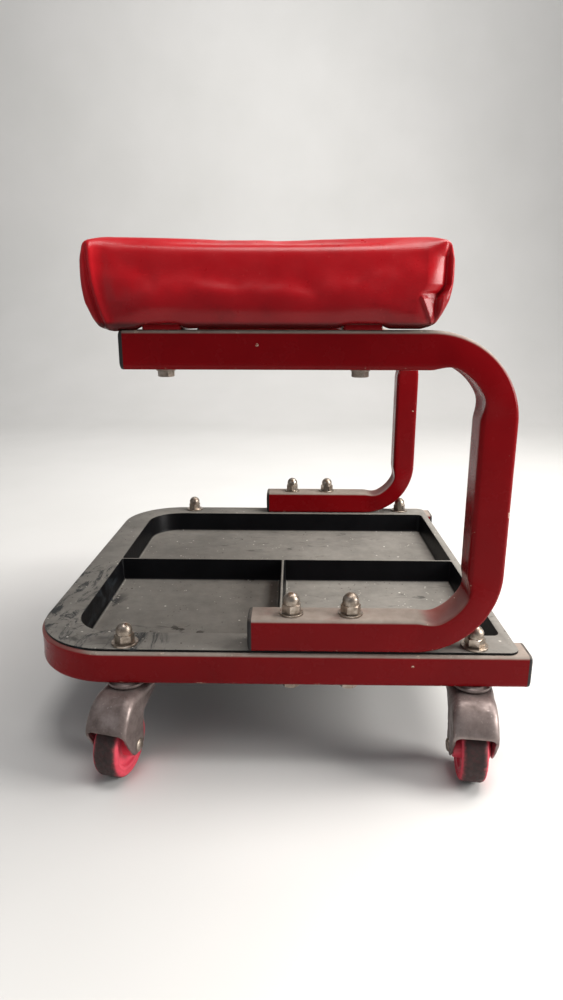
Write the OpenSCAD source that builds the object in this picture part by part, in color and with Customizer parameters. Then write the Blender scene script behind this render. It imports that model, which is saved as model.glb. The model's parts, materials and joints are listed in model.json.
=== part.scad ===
// Rolling creeper seat: a padded seat on two bent-tube side frames, bolted to a
// U-shaped tube base that holds a tool tray and rides on four swivel casters.
// +X is the rear, +Y is the sitter's right, +Z is up. The origin is on the floor,
// under the middle of the base.

/* [Tube] */
// Width of the square tube, the same in all three bent frames
tube = 25.4; // [20:0.2:32]
// Wall of the square tube
tube_wall = 1.6; // [1:0.1:2.5]
// Outer corner radius of the tube's section
tube_corner = 3.2; // [2:0.1:4.5]

/* [Base frame] */
// Length of the base frame along X, without its end caps
base_l = 377; // [315:1:460]
// Width of the base frame over its two rails
base_w = 391; // [330:1:470]
// Outer bend radius of the base frame's two front corners
base_bend = 65; // [52:1:76]
// How far an end cap stands out of its tube
cap_proud = 3.5; // [1.5:0.5:6]

/* [Side frames] */
// Height of a side frame over its two arms
frame_h = 228; // [190:1:275]
// Length of the upper arm's straight part, in front of its bend
upper_arm = 200.5; // [167:0.5:241]
// Length of the lower arm's straight part, in front of its bend
lower_arm = 119; // [99:0.5:143]
// Outer bend radius of a side frame
frame_bend = 60; // [50:1:72]
// From the base frame's rear end forward to the post's rear face
post_inset = 23.8; // [5:0.2:40]

/* [Tray] */
// Depth of the compartments below the flange's top face
tray_depth = 22.5; // [15:0.5:27]
// Thickness of the tray's floor, walls and dividers
tray_wall = 2.2; // [1.5:0.1:3]
// Thickness of the flange that lies on the rails
flange = 2; // [1.5:0.1:3]
// From the base frame's outer faces in to the flange's edge
flange_inset = 2.5; // [1:0.5:6]
// From the rails' inner faces in to the basin's walls
basin_gap = 3; // [2:0.5:6]
// From the base frame's rear end forward to the flange's rear edge
tray_inset = 5.8; // [2:0.2:12]
// Width of the flange behind the basin
rear_lip = 5; // [3:0.5:12]
// Corner radius at the tray's rear
tray_corner = 8; // [5:0.5:14]
// Length of the front left compartment along X
front_bay = 162.5; // [120:0.5:200]

/* [Seat] */
// Length of the padded seat along X
seat_l = 236; // [200:1:285]
// How far the pad stands out past the side frames on each side
seat_side = 5.5; // [0:0.5:15]
// How far the pad stands out in front of the upper arms
seat_front = 24.5; // [10:0.5:40]
// Thickness of the pad, from the straps to its top
seat_h = 51; // [42:0.5:62]
// Thickness of the plywood board
board_t = 10; // [8:0.5:15]
// From the pad's front and rear faces in to the board's ends
board_end_inset = 15; // [9:0.5:20]
// From the pad's side faces in to the board's sides
board_side_inset = 4; // [2.5:0.5:5]
// Corner radius of the board
board_corner = 8; // [4:0.5:12]
// Thickness of the vinyl cover
cover_t = 1.2; // [0.8:0.1:2]
// Width of the cover's edge that is stapled under the board
cover_wrap = 22; // [18:1:27]
// Corner radius of the pad in plan
seat_corner = 14; // [8:1:25]
// Width of a seat strap
strap_w = 25; // [20:1:32]
// Thickness of a seat strap
strap_t = 3.8; // [3:0.2:6]
// From an upper arm's front end to the first seat bolt
seat_bolt_inset = 25.5; // [18:0.5:35]
// Distance between the two seat bolts of an arm
seat_bolt_pitch = 130; // [100:1:160]

/* [Fasteners] */
// Thread of the frame bolts and caster stems
stud_d = 8; // [6:0.5:9]
// Width across flats of the nuts and heads on that thread
stud_flats = 13; // [11:0.5:15]
// Thread of the seat bolts
seat_bolt_d = 6; // [5:0.5:7]
// Width across flats of the seat bolts' heads
seat_bolt_flats = 10; // [8.5:0.5:12]
// Radial room that a bolt has in its holes
bolt_room = 0.3; // [0.1:0.05:0.5]
// From a lower arm's front end to its first frame bolt
frame_bolt_inset = 29; // [18:0.5:40]
// Distance between the two frame bolts of an arm
frame_bolt_pitch = 43.6; // [30:0.2:60]

/* [Casters] */
// From the floor to the underside of the base frame
caster_h = 71; // [68:0.5:85]
// Diameter of a wheel
wheel_d = 50; // [41:0.5:60]
// Width of a wheel's tread
wheel_w = 19; // [15:0.5:22]
// From the swivel's axis back to the wheel's axle
trail = 17; // [13:0.5:21]
// Diameter of the axle
axle_d = 6.2; // [5:0.2:8]
// Inner width of a fork
fork_gap = 28; // [26:0.5:34]
// Thickness of the fork's steel
fork_t = 2.3; // [1.6:0.1:3]
// Diameter of the swivel bearing's cup
cup_d = 29; // [27:0.5:33]
// Height of the swivel bearing's cup
cup_h = 4.4; // [3.6:0.2:6]
// Diameter of a bearing ball
ball_d = 3.2; // [2.6:0.2:3.6]
// From the base frame's front face back to the front caster stems
stem_front = 78.3; // [77:0.1:110]
// From the base frame's rear end forward to the rear caster stems
stem_rear = 37.3; // [25:0.1:60]
// How far the front casters are turned away from the side, in degrees
front_swivel = 14; // [0:1:359]
// How far the rear casters are turned away from the side, in degrees
rear_swivel = 6; // [0:1:359]

/* [Hidden] */
CORNERS = ["front_left", "rear_left", "front_right", "rear_right"];
$fn = 64;
far = 400;               // longer than any cut has to be
running = 0.08;          // radial clearance of a pin that turns
side_play = 0.6;         // between a hub and each leg of its fork
loose = 0.3;             // between bearing parts that never touch

paint = "#9c1420";
vinyl = "#c0202c";
zinc = "#b4b2ae";
dull_zinc = "#8f8a88";
plastic = "#2c2d2f";
wheel_red = "#d8324a";

base_x0 = -(base_l + cap_proud) / 2;          // front face of the base frame
base_x1 = base_x0 + base_l;                   // its rear ends
line_y = (base_w - tube) / 2;                 // rails, side frames and all their bolts
rail_z = caster_h;                            // underside of the rails
deck_z = rail_z + tube + flange;              // top of the tray's flange
post_x = base_x1 - post_inset;                // rear face of the posts
arm_top = deck_z + frame_h;                   // top of the upper arms
strap_top = arm_top + strap_t;
lower_x = post_x - frame_bend - lower_arm;    // front end of the lower arms
upper_x = post_x - frame_bend - upper_arm;    // front end of the upper arms

basin_x0 = base_x0 + tube + basin_gap;        // outside of the basin's front wall
basin_x1 = base_x1 - tray_inset - rear_lip;   // outside of its rear wall
basin_w = base_w - 2 * (tube + basin_gap);
basin_bend = max(base_bend - tube - basin_gap, tray_corner);

seat_x0 = upper_x - seat_front;
seat_w = base_w + 2 * seat_side;
board_z = strap_top + cover_t;
foam_z = board_z + board_t;
seat_top = strap_top + seat_h;
foam_inset = cover_t + 0.1;

stud_r = stud_d / 2;
stud_hole = stud_r + bolt_room;
washer_t = 1.6;
frame_washer_r = 9;
stem_washer_r = 10;
nut_h = 15;                                   // height of an acorn nut over its dome
nut_hex = 6.5;                                // height of its hexagon
nut_grip = 9;                                 // how deep a stud goes into it
head_h = 5.3;
seat_bolt_r = seat_bolt_d / 2;
seat_bolt_hole = seat_bolt_r + bolt_room;
seat_head_h = 4;
seat_washer_t = 1.2;
seat_washer_r = 6.5;
tee_r = seat_bolt_r + 1;                      // barrel of a tee nut
tee_flange_r = 9.5;
tee_flange_t = 1.5;

staple_w = 10;
staple_wire = 0.8;
staple_leg = 6;
staple_pitch = 36;
staple_edge = 12;                             // from the board's edge to the staples

cup_gap = 0.4;                                // between the cup and the fork
fork_top = rail_z - cup_h - cup_gap;
fork_under = fork_top - fork_t;
fork_w = fork_gap + 2 * fork_t;
cap_r = 17.4;                                 // round top of the fork
race_r = 10.4;                                // radius of the ring of balls
ball_z = fork_top + cup_gap / 2;
balls = 12;
wheel_r = wheel_d / 2;
axle_r = axle_d / 2;
rivet_r = 6.5;                                // head under the fork that holds the swivel
rivet_h = 2.2;
hood_gap = 3.3 + fork_t;                      // from the wheel to the hood's outer face
leg_r = axle_r + 5;                           // end of a fork leg, round its axle
bush_r = axle_r + 1.6;
hub_r = bush_r + 4;
core_r = wheel_r - 6;                         // where the hub's web meets the tread
hub_l = fork_gap - 2 * side_play;
tread_edge = 2.6;                             // rounding of the tread's shoulders
stud_top = deck_z + tube + washer_t + nut_grip;
stem_top = deck_z + washer_t + nut_grip;

frame_bolt_x = [lower_x + frame_bolt_inset, lower_x + frame_bolt_inset + frame_bolt_pitch];
seat_bolt_x = [upper_x + seat_bolt_inset, upper_x + seat_bolt_inset + seat_bolt_pitch];
stem_x = [base_x0 + stem_front, base_x1 - stem_rear];

// ---- shared shapes ----

// Rectangle centred on the origin with round corners
module round_rect(w, h, r) {
    square([w - 2 * r, h], center = true);
    square([w, h - 2 * r], center = true);
    for (sx = [-1, 1], sy = [-1, 1])
        translate([sx * (w / 2 - r), sy * (h / 2 - r)]) circle(r);
}

// Plan of width w from x0 to x1, with radius ra on its front corners and rb on its rear ones
module plan(x0, x1, w, ra, rb) {
    translate([x0 + ra, -w / 2]) square([x1 - rb - x0 - ra, w]);
    translate([x0, ra - w / 2]) square([x1 - rb - x0, w - 2 * ra]);
    translate([x0 + ra, rb - w / 2]) square([x1 - x0 - ra, w - 2 * rb]);
    for (s = [-1, 1]) {
        translate([x0 + ra, s * (w / 2 - ra)]) circle(ra);
        translate([x1 - rb, s * (w / 2 - rb)]) circle(rb);
    }
}

module tube_section() {
    difference() {
        round_rect(tube, tube, tube_corner);
        round_rect(tube - 2 * tube_wall, tube - 2 * tube_wall, tube_corner - tube_wall / 2);
    }
}

module tube_along_x(l) {
    rotate([90, 0, 90]) linear_extrude(l) tube_section();
}

// Bent tube in the XY plane: its closed end's outer face is at x = 0, and its two
// arms run to x = arm_a at -Y and to x = arm_b at +Y
module bent_tube(arm_a, arm_b, width, bend) {
    mid = bend - tube / 2;
    turn = width / 2 - bend;
    translate([bend, tube / 2 - width / 2]) tube_along_x(arm_a - bend);
    translate([bend, width / 2 - tube / 2]) tube_along_x(arm_b - bend);
    translate([tube / 2, -turn]) rotate([0, 0, 90]) tube_along_x(2 * turn);
    translate([bend, -turn]) rotate([0, 0, 180]) rotate_extrude(angle = 90)
        translate([mid, 0]) tube_section();
    translate([bend, turn]) rotate([0, 0, 90]) rotate_extrude(angle = 90)
        translate([mid, 0]) tube_section();
}

// Plastic plug for a tube's end, which looks along +X, with its flange face at x = 0
module end_cap() {
    dome = tube * 2;
    plug = tube - 2 * tube_wall - 0.2;
    intersection() {
        rotate([90, 0, 90]) linear_extrude(cap_proud) round_rect(tube, tube, tube_corner);
        translate([cap_proud - dome, 0, 0]) sphere(dome, $fn = 128);
    }
    translate([-10, 0, 0]) rotate([90, 0, 90]) linear_extrude(10)
        round_rect(plug, plug, tube_corner - tube_wall / 2);
}

// Acorn nut that stands on z = 0
module acorn_nut() {
    dome = stud_flats / 2 - 0.4;
    difference() {
        union() {
            cylinder(r = stud_flats / sqrt(3), h = nut_hex, $fn = 6);
            cylinder(r = dome, h = nut_h - dome);
            translate([0, 0, nut_h - dome]) sphere(dome);
        }
        translate([0, 0, -1]) cylinder(r = stud_r + 0.1, h = nut_grip + 2);
    }
}

module washer(r, bore, t) {
    difference() {
        cylinder(r = r, h = t);
        translate([0, 0, -t]) cylinder(r = bore, h = 3 * t);
    }
}

// Places its children at each frame bolt
module at_frame_bolts() {
    for (x = frame_bolt_x, s = [-1, 1]) translate([x, s * line_y, 0]) children();
}

module at_seat_bolts() {
    for (x = seat_bolt_x, s = [-1, 1]) translate([x, s * line_y, 0]) children();
}

module at_stems() {
    for (x = stem_x, s = [-1, 1]) translate([x, s * line_y, 0]) children();
}

// Places its children at one caster: +X is the way that it trails, z = 0 is the floor
module at_caster(corner) {
    front = corner == "front_left" || corner == "front_right";
    s = corner == "front_left" || corner == "rear_left" ? -1 : 1;
    swivel = front ? front_swivel : rear_swivel;
    translate([stem_x[front ? 0 : 1], s * line_y, 0]) rotate([0, 0, s * (90 + swivel)])
        children();
}

// Places its children at a caster's axle, with z along the axle
module at_axle(corner) {
    at_caster(corner) translate([trail, 0, wheel_r]) rotate([90, 0, 0]) children();
}

// ---- base ----

module base_frame() {
    color(paint) difference() {
        translate([base_x0, 0, rail_z + tube / 2]) bent_tube(base_l, base_l, base_w, base_bend);
        translate([0, 0, rail_z - 1]) {
            at_frame_bolts() cylinder(r = stud_hole, h = tube + 2);
            at_stems() cylinder(r = stud_hole, h = tube + 2);
        }
    }
}

module base_end_caps() {
    color(plastic) for (s = [-1, 1])
        translate([base_x1, s * line_y, rail_z + tube / 2]) end_cap();
}

module tool_tray() {
    inner_x0 = basin_x0 + tray_wall;
    inner_w = basin_w - 2 * tray_wall;
    divider_x = inner_x0 + front_bay;
    floor_z = deck_z - tray_depth;
    color(plastic) difference() {
        union() {
            translate([0, 0, deck_z - flange]) linear_extrude(flange)
                plan(base_x0 + flange_inset, base_x1 - tray_inset, base_w - 2 * flange_inset,
                    base_bend - flange_inset, tray_corner);
            translate([0, 0, floor_z - tray_wall]) linear_extrude(tray_depth + tray_wall)
                plan(basin_x0, basin_x1, basin_w, basin_bend, tray_corner);
        }
        translate([0, 0, floor_z]) linear_extrude(tray_depth + 1) difference() {
            plan(inner_x0, basin_x1 - tray_wall, inner_w, basin_bend - tray_wall,
                tray_corner - tray_wall);
            translate([-far, -tray_wall / 2]) square([2 * far, tray_wall]);
            translate([divider_x, -far]) square([tray_wall, far]);
        }
        translate([0, 0, deck_z - flange - 1]) {
            at_frame_bolts() cylinder(r = stud_hole, h = flange + 2);
            at_stems() cylinder(r = stud_hole, h = flange + 2);
        }
    }
}

// ---- side frames ----

module side_frame(s) {
    color(paint) difference() {
        translate([post_x, s * line_y, deck_z + frame_h / 2]) rotate([90, 0, 0])
            mirror([1, 0, 0]) bent_tube(post_x - lower_x, post_x - upper_x, frame_h, frame_bend);
        translate([0, 0, deck_z - 1]) at_frame_bolts() cylinder(r = stud_hole, h = tube + 2);
        translate([0, 0, arm_top - tube - 1]) at_seat_bolts()
            cylinder(r = seat_bolt_hole, h = tube + 2);
    }
}

module side_frame_left() { side_frame(-1); }

module side_frame_right() { side_frame(1); }

module side_frame_end_caps() {
    color(plastic) for (s = [-1, 1]) {
        translate([lower_x, s * line_y, deck_z + tube / 2]) mirror([1, 0, 0]) end_cap();
        translate([upper_x, s * line_y, arm_top - tube / 2]) mirror([1, 0, 0]) end_cap();
    }
}

// ---- seat ----

module seat_strap(x) {
    length = base_w - 2;
    color(paint) difference() {
        translate([x - strap_w / 2, -length / 2, arm_top]) cube([strap_w, length, strap_t]);
        translate([0, 0, arm_top - 1]) at_seat_bolts() cylinder(r = seat_bolt_hole, h = strap_t + 2);
    }
}

module seat_strap_front() { seat_strap(seat_bolt_x[0]); }

module seat_strap_rear() { seat_strap(seat_bolt_x[1]); }

// Plan of the pad, drawn in by a margin
module seat_plan(margin) {
    corner = max(seat_corner - margin, 1);
    plan(seat_x0 + margin, seat_x0 + seat_l - margin, seat_w - 2 * margin, corner, corner);
}

// Plan of the board, drawn in by a margin
module board_plan(margin) {
    end = board_end_inset + margin;
    corner = max(board_corner - margin, 1);
    plan(seat_x0 + end, seat_x0 + seat_l - end, seat_w - 2 * (board_side_inset + margin),
        corner, corner);
}

module seat_board() {
    color("#c9a877") difference() {
        translate([0, 0, board_z]) linear_extrude(board_t) board_plan(0);
        translate([0, 0, board_z - 1]) at_seat_bolts() cylinder(r = tee_r + 0.1, h = board_t + 2);
        translate([0, 0, foam_z - tee_flange_t - 0.1]) at_seat_bolts()
            cylinder(r = tee_flange_r + 0.2, h = board_t);
    }
}

module seat_foam() {
    color("#d9cf9a") difference() {
        translate([0, 0, board_z]) linear_extrude(seat_top - cover_t - 0.1 - board_z)
            seat_plan(foam_inset);
        translate([0, 0, board_z - 1]) linear_extrude(board_t + 1) board_plan(-0.1);
    }
}

module seat_cover() {
    color(vinyl) difference() {
        translate([0, 0, strap_top]) linear_extrude(seat_h) seat_plan(0);
        translate([0, 0, strap_top + cover_t]) linear_extrude(seat_h - 2 * cover_t) seat_plan(cover_t);
        translate([0, 0, strap_top - 1]) linear_extrude(cover_t + 2) board_plan(cover_wrap);
        translate([0, 0, strap_top - 1]) at_seat_bolts() cylinder(r = seat_bolt_hole, h = cover_t + 2);
    }
}

// One staple with its crown along X under z = 0
module staple() {
    translate([-staple_w / 2, -staple_wire / 2, -staple_wire])
        cube([staple_w, staple_wire, staple_wire]);
    for (x = [-staple_w / 2, staple_w / 2 - staple_wire])
        translate([x, -staple_wire / 2, -staple_wire / 2])
            cube([staple_wire, staple_wire, staple_leg]);
}

function spread(length, pitch) =
    let (n = floor(length / pitch)) [for (i = [0 : n]) (i - n / 2) * pitch];

function near_strap(x) =
    min(abs(x - seat_bolt_x[0]), abs(x - seat_bolt_x[1])) < strap_w / 2 + staple_w / 2 + 1;

module cover_staples() {
    edge_x = seat_l / 2 - board_end_inset - staple_edge;
    edge_y = seat_w / 2 - board_side_inset - staple_edge;
    mid_x = seat_x0 + seat_l / 2;
    color(zinc) {
        for (dx = spread(2 * edge_x - staple_pitch, staple_pitch / 2), s = [-1, 1])
            if (!near_strap(mid_x + dx)) translate([mid_x + dx, s * edge_y, strap_top]) staple();
        for (y = spread(2 * edge_y - staple_pitch, staple_pitch), s = [-1, 1])
            translate([mid_x + s * edge_x, y, strap_top]) rotate([0, 0, 90]) staple();
    }
}

module seat_tee_nuts() {
    color(zinc) at_seat_bolts() difference() {
        union() {
            translate([0, 0, foam_z - tee_flange_t]) cylinder(r = tee_flange_r, h = tee_flange_t);
            translate([0, 0, board_z + 1]) cylinder(r = tee_r, h = board_t - 1);
        }
        translate([0, 0, board_z]) cylinder(r = seat_bolt_r + 0.1, h = 2 * board_t);
    }
}

module seat_bolts() {
    head_z = arm_top - tube - seat_washer_t - seat_head_h;
    color(zinc) at_seat_bolts() translate([0, 0, head_z]) {
        cylinder(r = seat_bolt_flats / sqrt(3), h = seat_head_h, $fn = 6);
        cylinder(r = seat_bolt_r, h = foam_z - 0.5 - head_z);
    }
}

module seat_bolt_washers() {
    color(zinc) at_seat_bolts() translate([0, 0, arm_top - tube - seat_washer_t])
        washer(seat_washer_r, seat_bolt_hole, seat_washer_t);
}

// ---- frame fasteners ----

module frame_bolts() {
    color(zinc) at_frame_bolts() translate([0, 0, rail_z - head_h]) {
        cylinder(r = stud_flats / sqrt(3), h = head_h, $fn = 6);
        cylinder(r = stud_r, h = stud_top - rail_z + head_h);
    }
}

module frame_bolt_washers() {
    color(zinc) at_frame_bolts() translate([0, 0, deck_z + tube])
        washer(frame_washer_r, stud_hole, washer_t);
}

module frame_acorn_nuts() {
    color(zinc) at_frame_bolts() translate([0, 0, deck_z + tube + washer_t]) acorn_nut();
}

module caster_stems() {
    foot = fork_under - loose;
    color(zinc) at_stems() {
        translate([0, 0, foot - rivet_h]) cylinder(r = rivet_r, h = rivet_h);
        translate([0, 0, foot - rivet_h]) cylinder(r = stud_r, h = stem_top - foot + rivet_h);
    }
}

module caster_stem_washers() {
    color(zinc) at_stems() translate([0, 0, deck_z]) washer(stem_washer_r, stud_hole, washer_t);
}

module caster_acorn_nuts() {
    color(zinc) at_stems() translate([0, 0, deck_z + washer_t]) acorn_nut();
}

// ---- casters ----

// Ring-shaped groove that the balls run in
module ball_race() {
    translate([0, 0, ball_z]) rotate_extrude() translate([race_r, 0]) circle(ball_d / 2 + loose);
}

module caster_race_cups() {
    color(dull_zinc) at_stems() difference() {
        translate([0, 0, rail_z - cup_h]) cylinder(r = cup_d / 2, h = cup_h);
        translate([0, 0, rail_z - cup_h - 1]) cylinder(r = stud_r + 0.1, h = cup_h + 2);
        ball_race();
    }
}

module caster_balls() {
    color(zinc) at_stems() for (i = [0 : balls - 1])
        rotate([0, 0, i * 360 / balls]) translate([race_r, 0, ball_z]) sphere(ball_d / 2);
}

// Points on a curve from a to b that leans towards c
function curve(a, c, b, n = 8) =
    [for (i = [0 : n]) let (t = i / n) (1 - t) * (1 - t) * a + 2 * t * (1 - t) * c + t * t * b];

axle = [trail, wheel_r];
hood_angle = 43;                              // where the hood ends, above the axle
hood_foot = axle + (wheel_r + hood_gap) * [cos(hood_angle), sin(hood_angle)];
hood_start = [cap_r - 1, fork_top];
hood_lean = [max(hood_foot[0] - 6, cap_r + 4), fork_top - 1];

// Side view of the fork: x is the way it trails, y is up
module fork_side() {
    waist = [axle[0] - leg_r + 1, axle[1] + 0.55 * (fork_under - axle[1])];
    difference() {
        union() {
            polygon(concat(
                [[-0.8 * cap_r, fork_top]],
                curve([-0.7 * cap_r, fork_under - 3], [-0.35 * cap_r, waist[1] + 6], waist),
                [axle - [leg_r, 0], axle + [leg_r * 0.9, -leg_r * 0.45]],
                [hood_foot],
                curve(hood_foot, hood_lean, hood_start)));
            translate(axle) circle(leg_r);
        }
        translate(axle) circle(axle_r + 0.05);
    }
}

// Space inside the fork, from the underside of its top plate to the inside of its hood
module fork_hollow() {
    inner = [for (p = curve(hood_foot, hood_lean, hood_start)) p - [fork_t, fork_t * 0.4]];
    polygon(concat(
        [[-far, fork_under], [-far, -far], [hood_foot[0] - fork_t, -far]],
        [for (p = inner) [p[0], min(p[1], fork_under)]]));
}

module fork(corner) {
    color(dull_zinc) at_caster(corner) difference() {
        union() {
            translate([0, 0, fork_top - fork_t - 5]) cylinder(r = cap_r, h = fork_t + 5);
            intersection() {
                rotate([90, 0, 0]) linear_extrude(fork_w, center = true) fork_side();
                linear_extrude(far) plan(-cap_r, hood_foot[0] + 0.01, fork_w, 3, 7);
            }
        }
        intersection() {
            rotate([90, 0, 0]) linear_extrude(fork_gap, center = true) fork_hollow();
            linear_extrude(far) plan(-far, hood_foot[0] - fork_t, fork_gap, 3, 7 - fork_t);
        }
        translate([0, 0, fork_under - 6]) intersection() {
            cylinder(r = cap_r - fork_t, h = 6);
            translate([-far, -fork_gap / 2, 0]) cube([2 * far, fork_gap, 6]);
        }
        cylinder(r = stud_r + running, h = far);
        ball_race();
    }
}

module axle(corner) {
    head = axle_r + 2;
    color(zinc) at_axle(corner) {
        cylinder(r = axle_r, h = fork_w + 1, center = true);
        for (s = [-1, 1]) intersection() {
            translate([0, 0, s * (fork_w / 2 + 1)]) cylinder(r = head, h = 2, center = true);
            translate([0, 0, s * (fork_w / 2 + 2 - 2 * head)]) sphere(2 * head);
        }
    }
}

module tread(corner) {
    half = wheel_w / 2;
    color(wheel_red) at_axle(corner) rotate_extrude($fn = 128) polygon(concat(
        [[core_r + 0.03, half - 1], [core_r + 0.03, 1 - half], [core_r + 2, -half],
            [wheel_r - tread_edge, -half]],
        curve([wheel_r - tread_edge, -half], [wheel_r, -half], [wheel_r, tread_edge - half]),
        curve([wheel_r, half - tread_edge], [wheel_r, half], [wheel_r - tread_edge, half]),
        [[core_r + 2, half]]));
}

module hub(corner) {
    web = wheel_w / 2 - 1;
    color(wheel_red) at_axle(corner) difference() {
        union() {
            cylinder(r = core_r, h = 2 * web, center = true);
            cylinder(r = hub_r, h = hub_l, center = true);
        }
        cylinder(r = bush_r + 0.03, h = far, center = true);
        for (s = [-1, 1]) translate([0, 0, s * web]) rotate_extrude() polygon([
            [hub_r, -2.5], [core_r - 3, -2.5], [core_r - 2, 1], [hub_r, 1]]);
    }
}

module bush(corner) {
    color(zinc) at_axle(corner) difference() {
        cylinder(r = bush_r, h = hub_l, center = true);
        cylinder(r = axle_r + running, h = far, center = true);
    }
}

base_frame();
base_end_caps();
tool_tray();
side_frame_left();
side_frame_right();
side_frame_end_caps();
seat_strap_front();
seat_strap_rear();
seat_board();
seat_foam();
seat_cover();
cover_staples();
seat_tee_nuts();
seat_bolts();
seat_bolt_washers();
frame_bolts();
frame_bolt_washers();
frame_acorn_nuts();
caster_stems();
caster_stem_washers();
caster_acorn_nuts();
caster_race_cups();
caster_balls();
for (corner = CORNERS) {
    fork(corner);
    axle(corner);
    tread(corner);
    hub(corner);
    bush(corner);
}
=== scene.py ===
"""Looks of a rolling creeper seat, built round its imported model.

Lengths are in metres. +X is the seat's rear, +Y the sitter's right, and the floor is z = 0.
"""

import json
import math

import bmesh
import bpy
import numpy as np
from mathutils import Matrix, Vector


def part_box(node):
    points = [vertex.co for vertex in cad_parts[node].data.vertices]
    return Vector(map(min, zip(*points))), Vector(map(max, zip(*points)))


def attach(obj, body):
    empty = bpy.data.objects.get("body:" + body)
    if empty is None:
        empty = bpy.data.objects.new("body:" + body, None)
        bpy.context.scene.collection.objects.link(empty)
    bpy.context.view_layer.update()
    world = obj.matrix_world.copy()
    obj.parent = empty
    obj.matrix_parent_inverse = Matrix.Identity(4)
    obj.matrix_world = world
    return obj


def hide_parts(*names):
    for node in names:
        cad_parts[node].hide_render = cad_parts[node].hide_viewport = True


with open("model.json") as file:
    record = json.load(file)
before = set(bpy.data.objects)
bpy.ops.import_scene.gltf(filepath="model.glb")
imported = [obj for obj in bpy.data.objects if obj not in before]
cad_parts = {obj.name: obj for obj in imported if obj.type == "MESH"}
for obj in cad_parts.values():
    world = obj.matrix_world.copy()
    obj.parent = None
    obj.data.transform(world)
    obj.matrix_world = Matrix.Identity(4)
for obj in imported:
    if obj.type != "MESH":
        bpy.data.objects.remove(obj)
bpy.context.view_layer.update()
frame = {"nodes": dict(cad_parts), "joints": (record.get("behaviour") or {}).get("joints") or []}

MM = 0.001
CORNERS = ("front_left", "rear_left", "front_right", "rear_right")
SIDES = ("left", "right")

# ---------------------------------------------------------------- sizes taken from the frame


def low(node):
    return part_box(node)[0]


def high(node):
    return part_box(node)[1]


TUBE = high("base_frame").z - low("base_frame").z
TUBE_CORNER = 3.2 * MM
TUBE_WALL = 1.6 * MM
BASE_BEND = 65 * MM
FRAME_BEND = 60 * MM
LINE_Y = high("base_frame").y - TUBE / 2         # centre line of the rails and side frames
DECK = high("tool_tray").z                       # top of the tray's flange
JOINTS = {joint["name"]: joint for joint in frame["joints"]}


# ---------------------------------------------------------------- meshes


def add_object(name, mesh, material=None):
    piece = bpy.data.objects.new(name, mesh)
    bpy.context.scene.collection.objects.link(piece)
    if material is not None:
        mesh.materials.clear()
        mesh.materials.append(material)
    return piece


def mesh_from(name, verts, faces):
    mesh = bpy.data.meshes.new(name)
    mesh.from_pydata([tuple(v) for v in verts], [], [tuple(f) for f in faces])
    mesh.validate()
    mesh.update()
    return mesh


def smooth(mesh, angle=35):
    """Shades a mesh smooth, except over edges sharper than the angle in degrees."""
    mesh.shade_smooth()
    mesh.set_sharp_from_angle(angle=math.radians(angle))


def turn_outwards(mesh):
    work = bmesh.new()
    work.from_mesh(mesh)
    bmesh.ops.remove_doubles(work, verts=work.verts, dist=1e-6)
    bmesh.ops.recalc_face_normals(work, faces=work.faces)
    work.to_mesh(mesh)
    work.free()


def baked(piece):
    """Applies a piece's modifiers to its mesh."""
    bpy.context.view_layer.update()
    graph = bpy.context.evaluated_depsgraph_get()
    mesh = bpy.data.meshes.new_from_object(piece.evaluated_get(graph))
    old = piece.data
    piece.modifiers.clear()
    piece.data = mesh
    mesh.name = piece.name
    bpy.data.meshes.remove(old)
    return piece


def joined_mesh(name, meshes):
    """One mesh that holds all the meshes given."""
    work = bmesh.new()
    for mesh in meshes:
        work.from_mesh(mesh)
    out = bpy.data.meshes.new(name)
    work.to_mesh(out)
    work.free()
    return out


def moved(mesh, matrix):
    copy = mesh.copy()
    copy.transform(matrix)
    if matrix.determinant() < 0:
        copy.flip_normals()
    return copy


def bevel(piece, width, segments=2, angle=30):
    mod = piece.modifiers.new("bevel", "BEVEL")
    mod.width = width
    mod.segments = segments
    mod.limit_method = "ANGLE"
    mod.angle_limit = math.radians(angle)
    mod.use_clamp_overlap = True
    return mod


def cut(piece, tool, operation="DIFFERENCE"):
    """Boolean of piece with tool, applied; the tool object is removed."""
    mod = piece.modifiers.new("cut", "BOOLEAN")
    mod.operation = operation
    mod.solver = "EXACT"
    mod.object = tool
    baked(piece)
    bpy.data.objects.remove(tool)


def lathe(name, profile, steps=48):
    """Solid of revolution round Z. The profile is (radius, z) points; a radius of 0 closes a pole."""
    verts, rings = [], []
    for radius, z in profile:
        if radius == 0:
            rings.append([len(verts)])
            verts.append((0, 0, z))
        else:
            rings.append(list(range(len(verts), len(verts) + steps)))
            verts += [(radius * math.cos(t), radius * math.sin(t), z)
                      for t in (2 * math.pi * i / steps for i in range(steps))]
    faces = []
    loop = list(zip(rings, rings[1:] + rings[:1]))
    if len(rings[0]) == 1:
        loop = loop[:-1]
    for a, b in loop:
        for i in range(steps):
            j = (i + 1) % steps
            if len(a) == 1:
                faces.append((a[0], b[j], b[i]))
            elif len(b) == 1:
                faces.append((a[i], a[j], b[0]))
            else:
                faces.append((a[i], a[j], b[j], b[i]))
    mesh = mesh_from(name, verts, faces)
    turn_outwards(mesh)
    return mesh


def arc(centre, radius, start, end, steps):
    """Points on an arc, angles in degrees."""
    return [(centre[0] + radius * math.cos(math.radians(start + (end - start) * i / steps)),
             centre[1] + radius * math.sin(math.radians(start + (end - start) * i / steps)))
            for i in range(steps + 1)]


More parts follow.
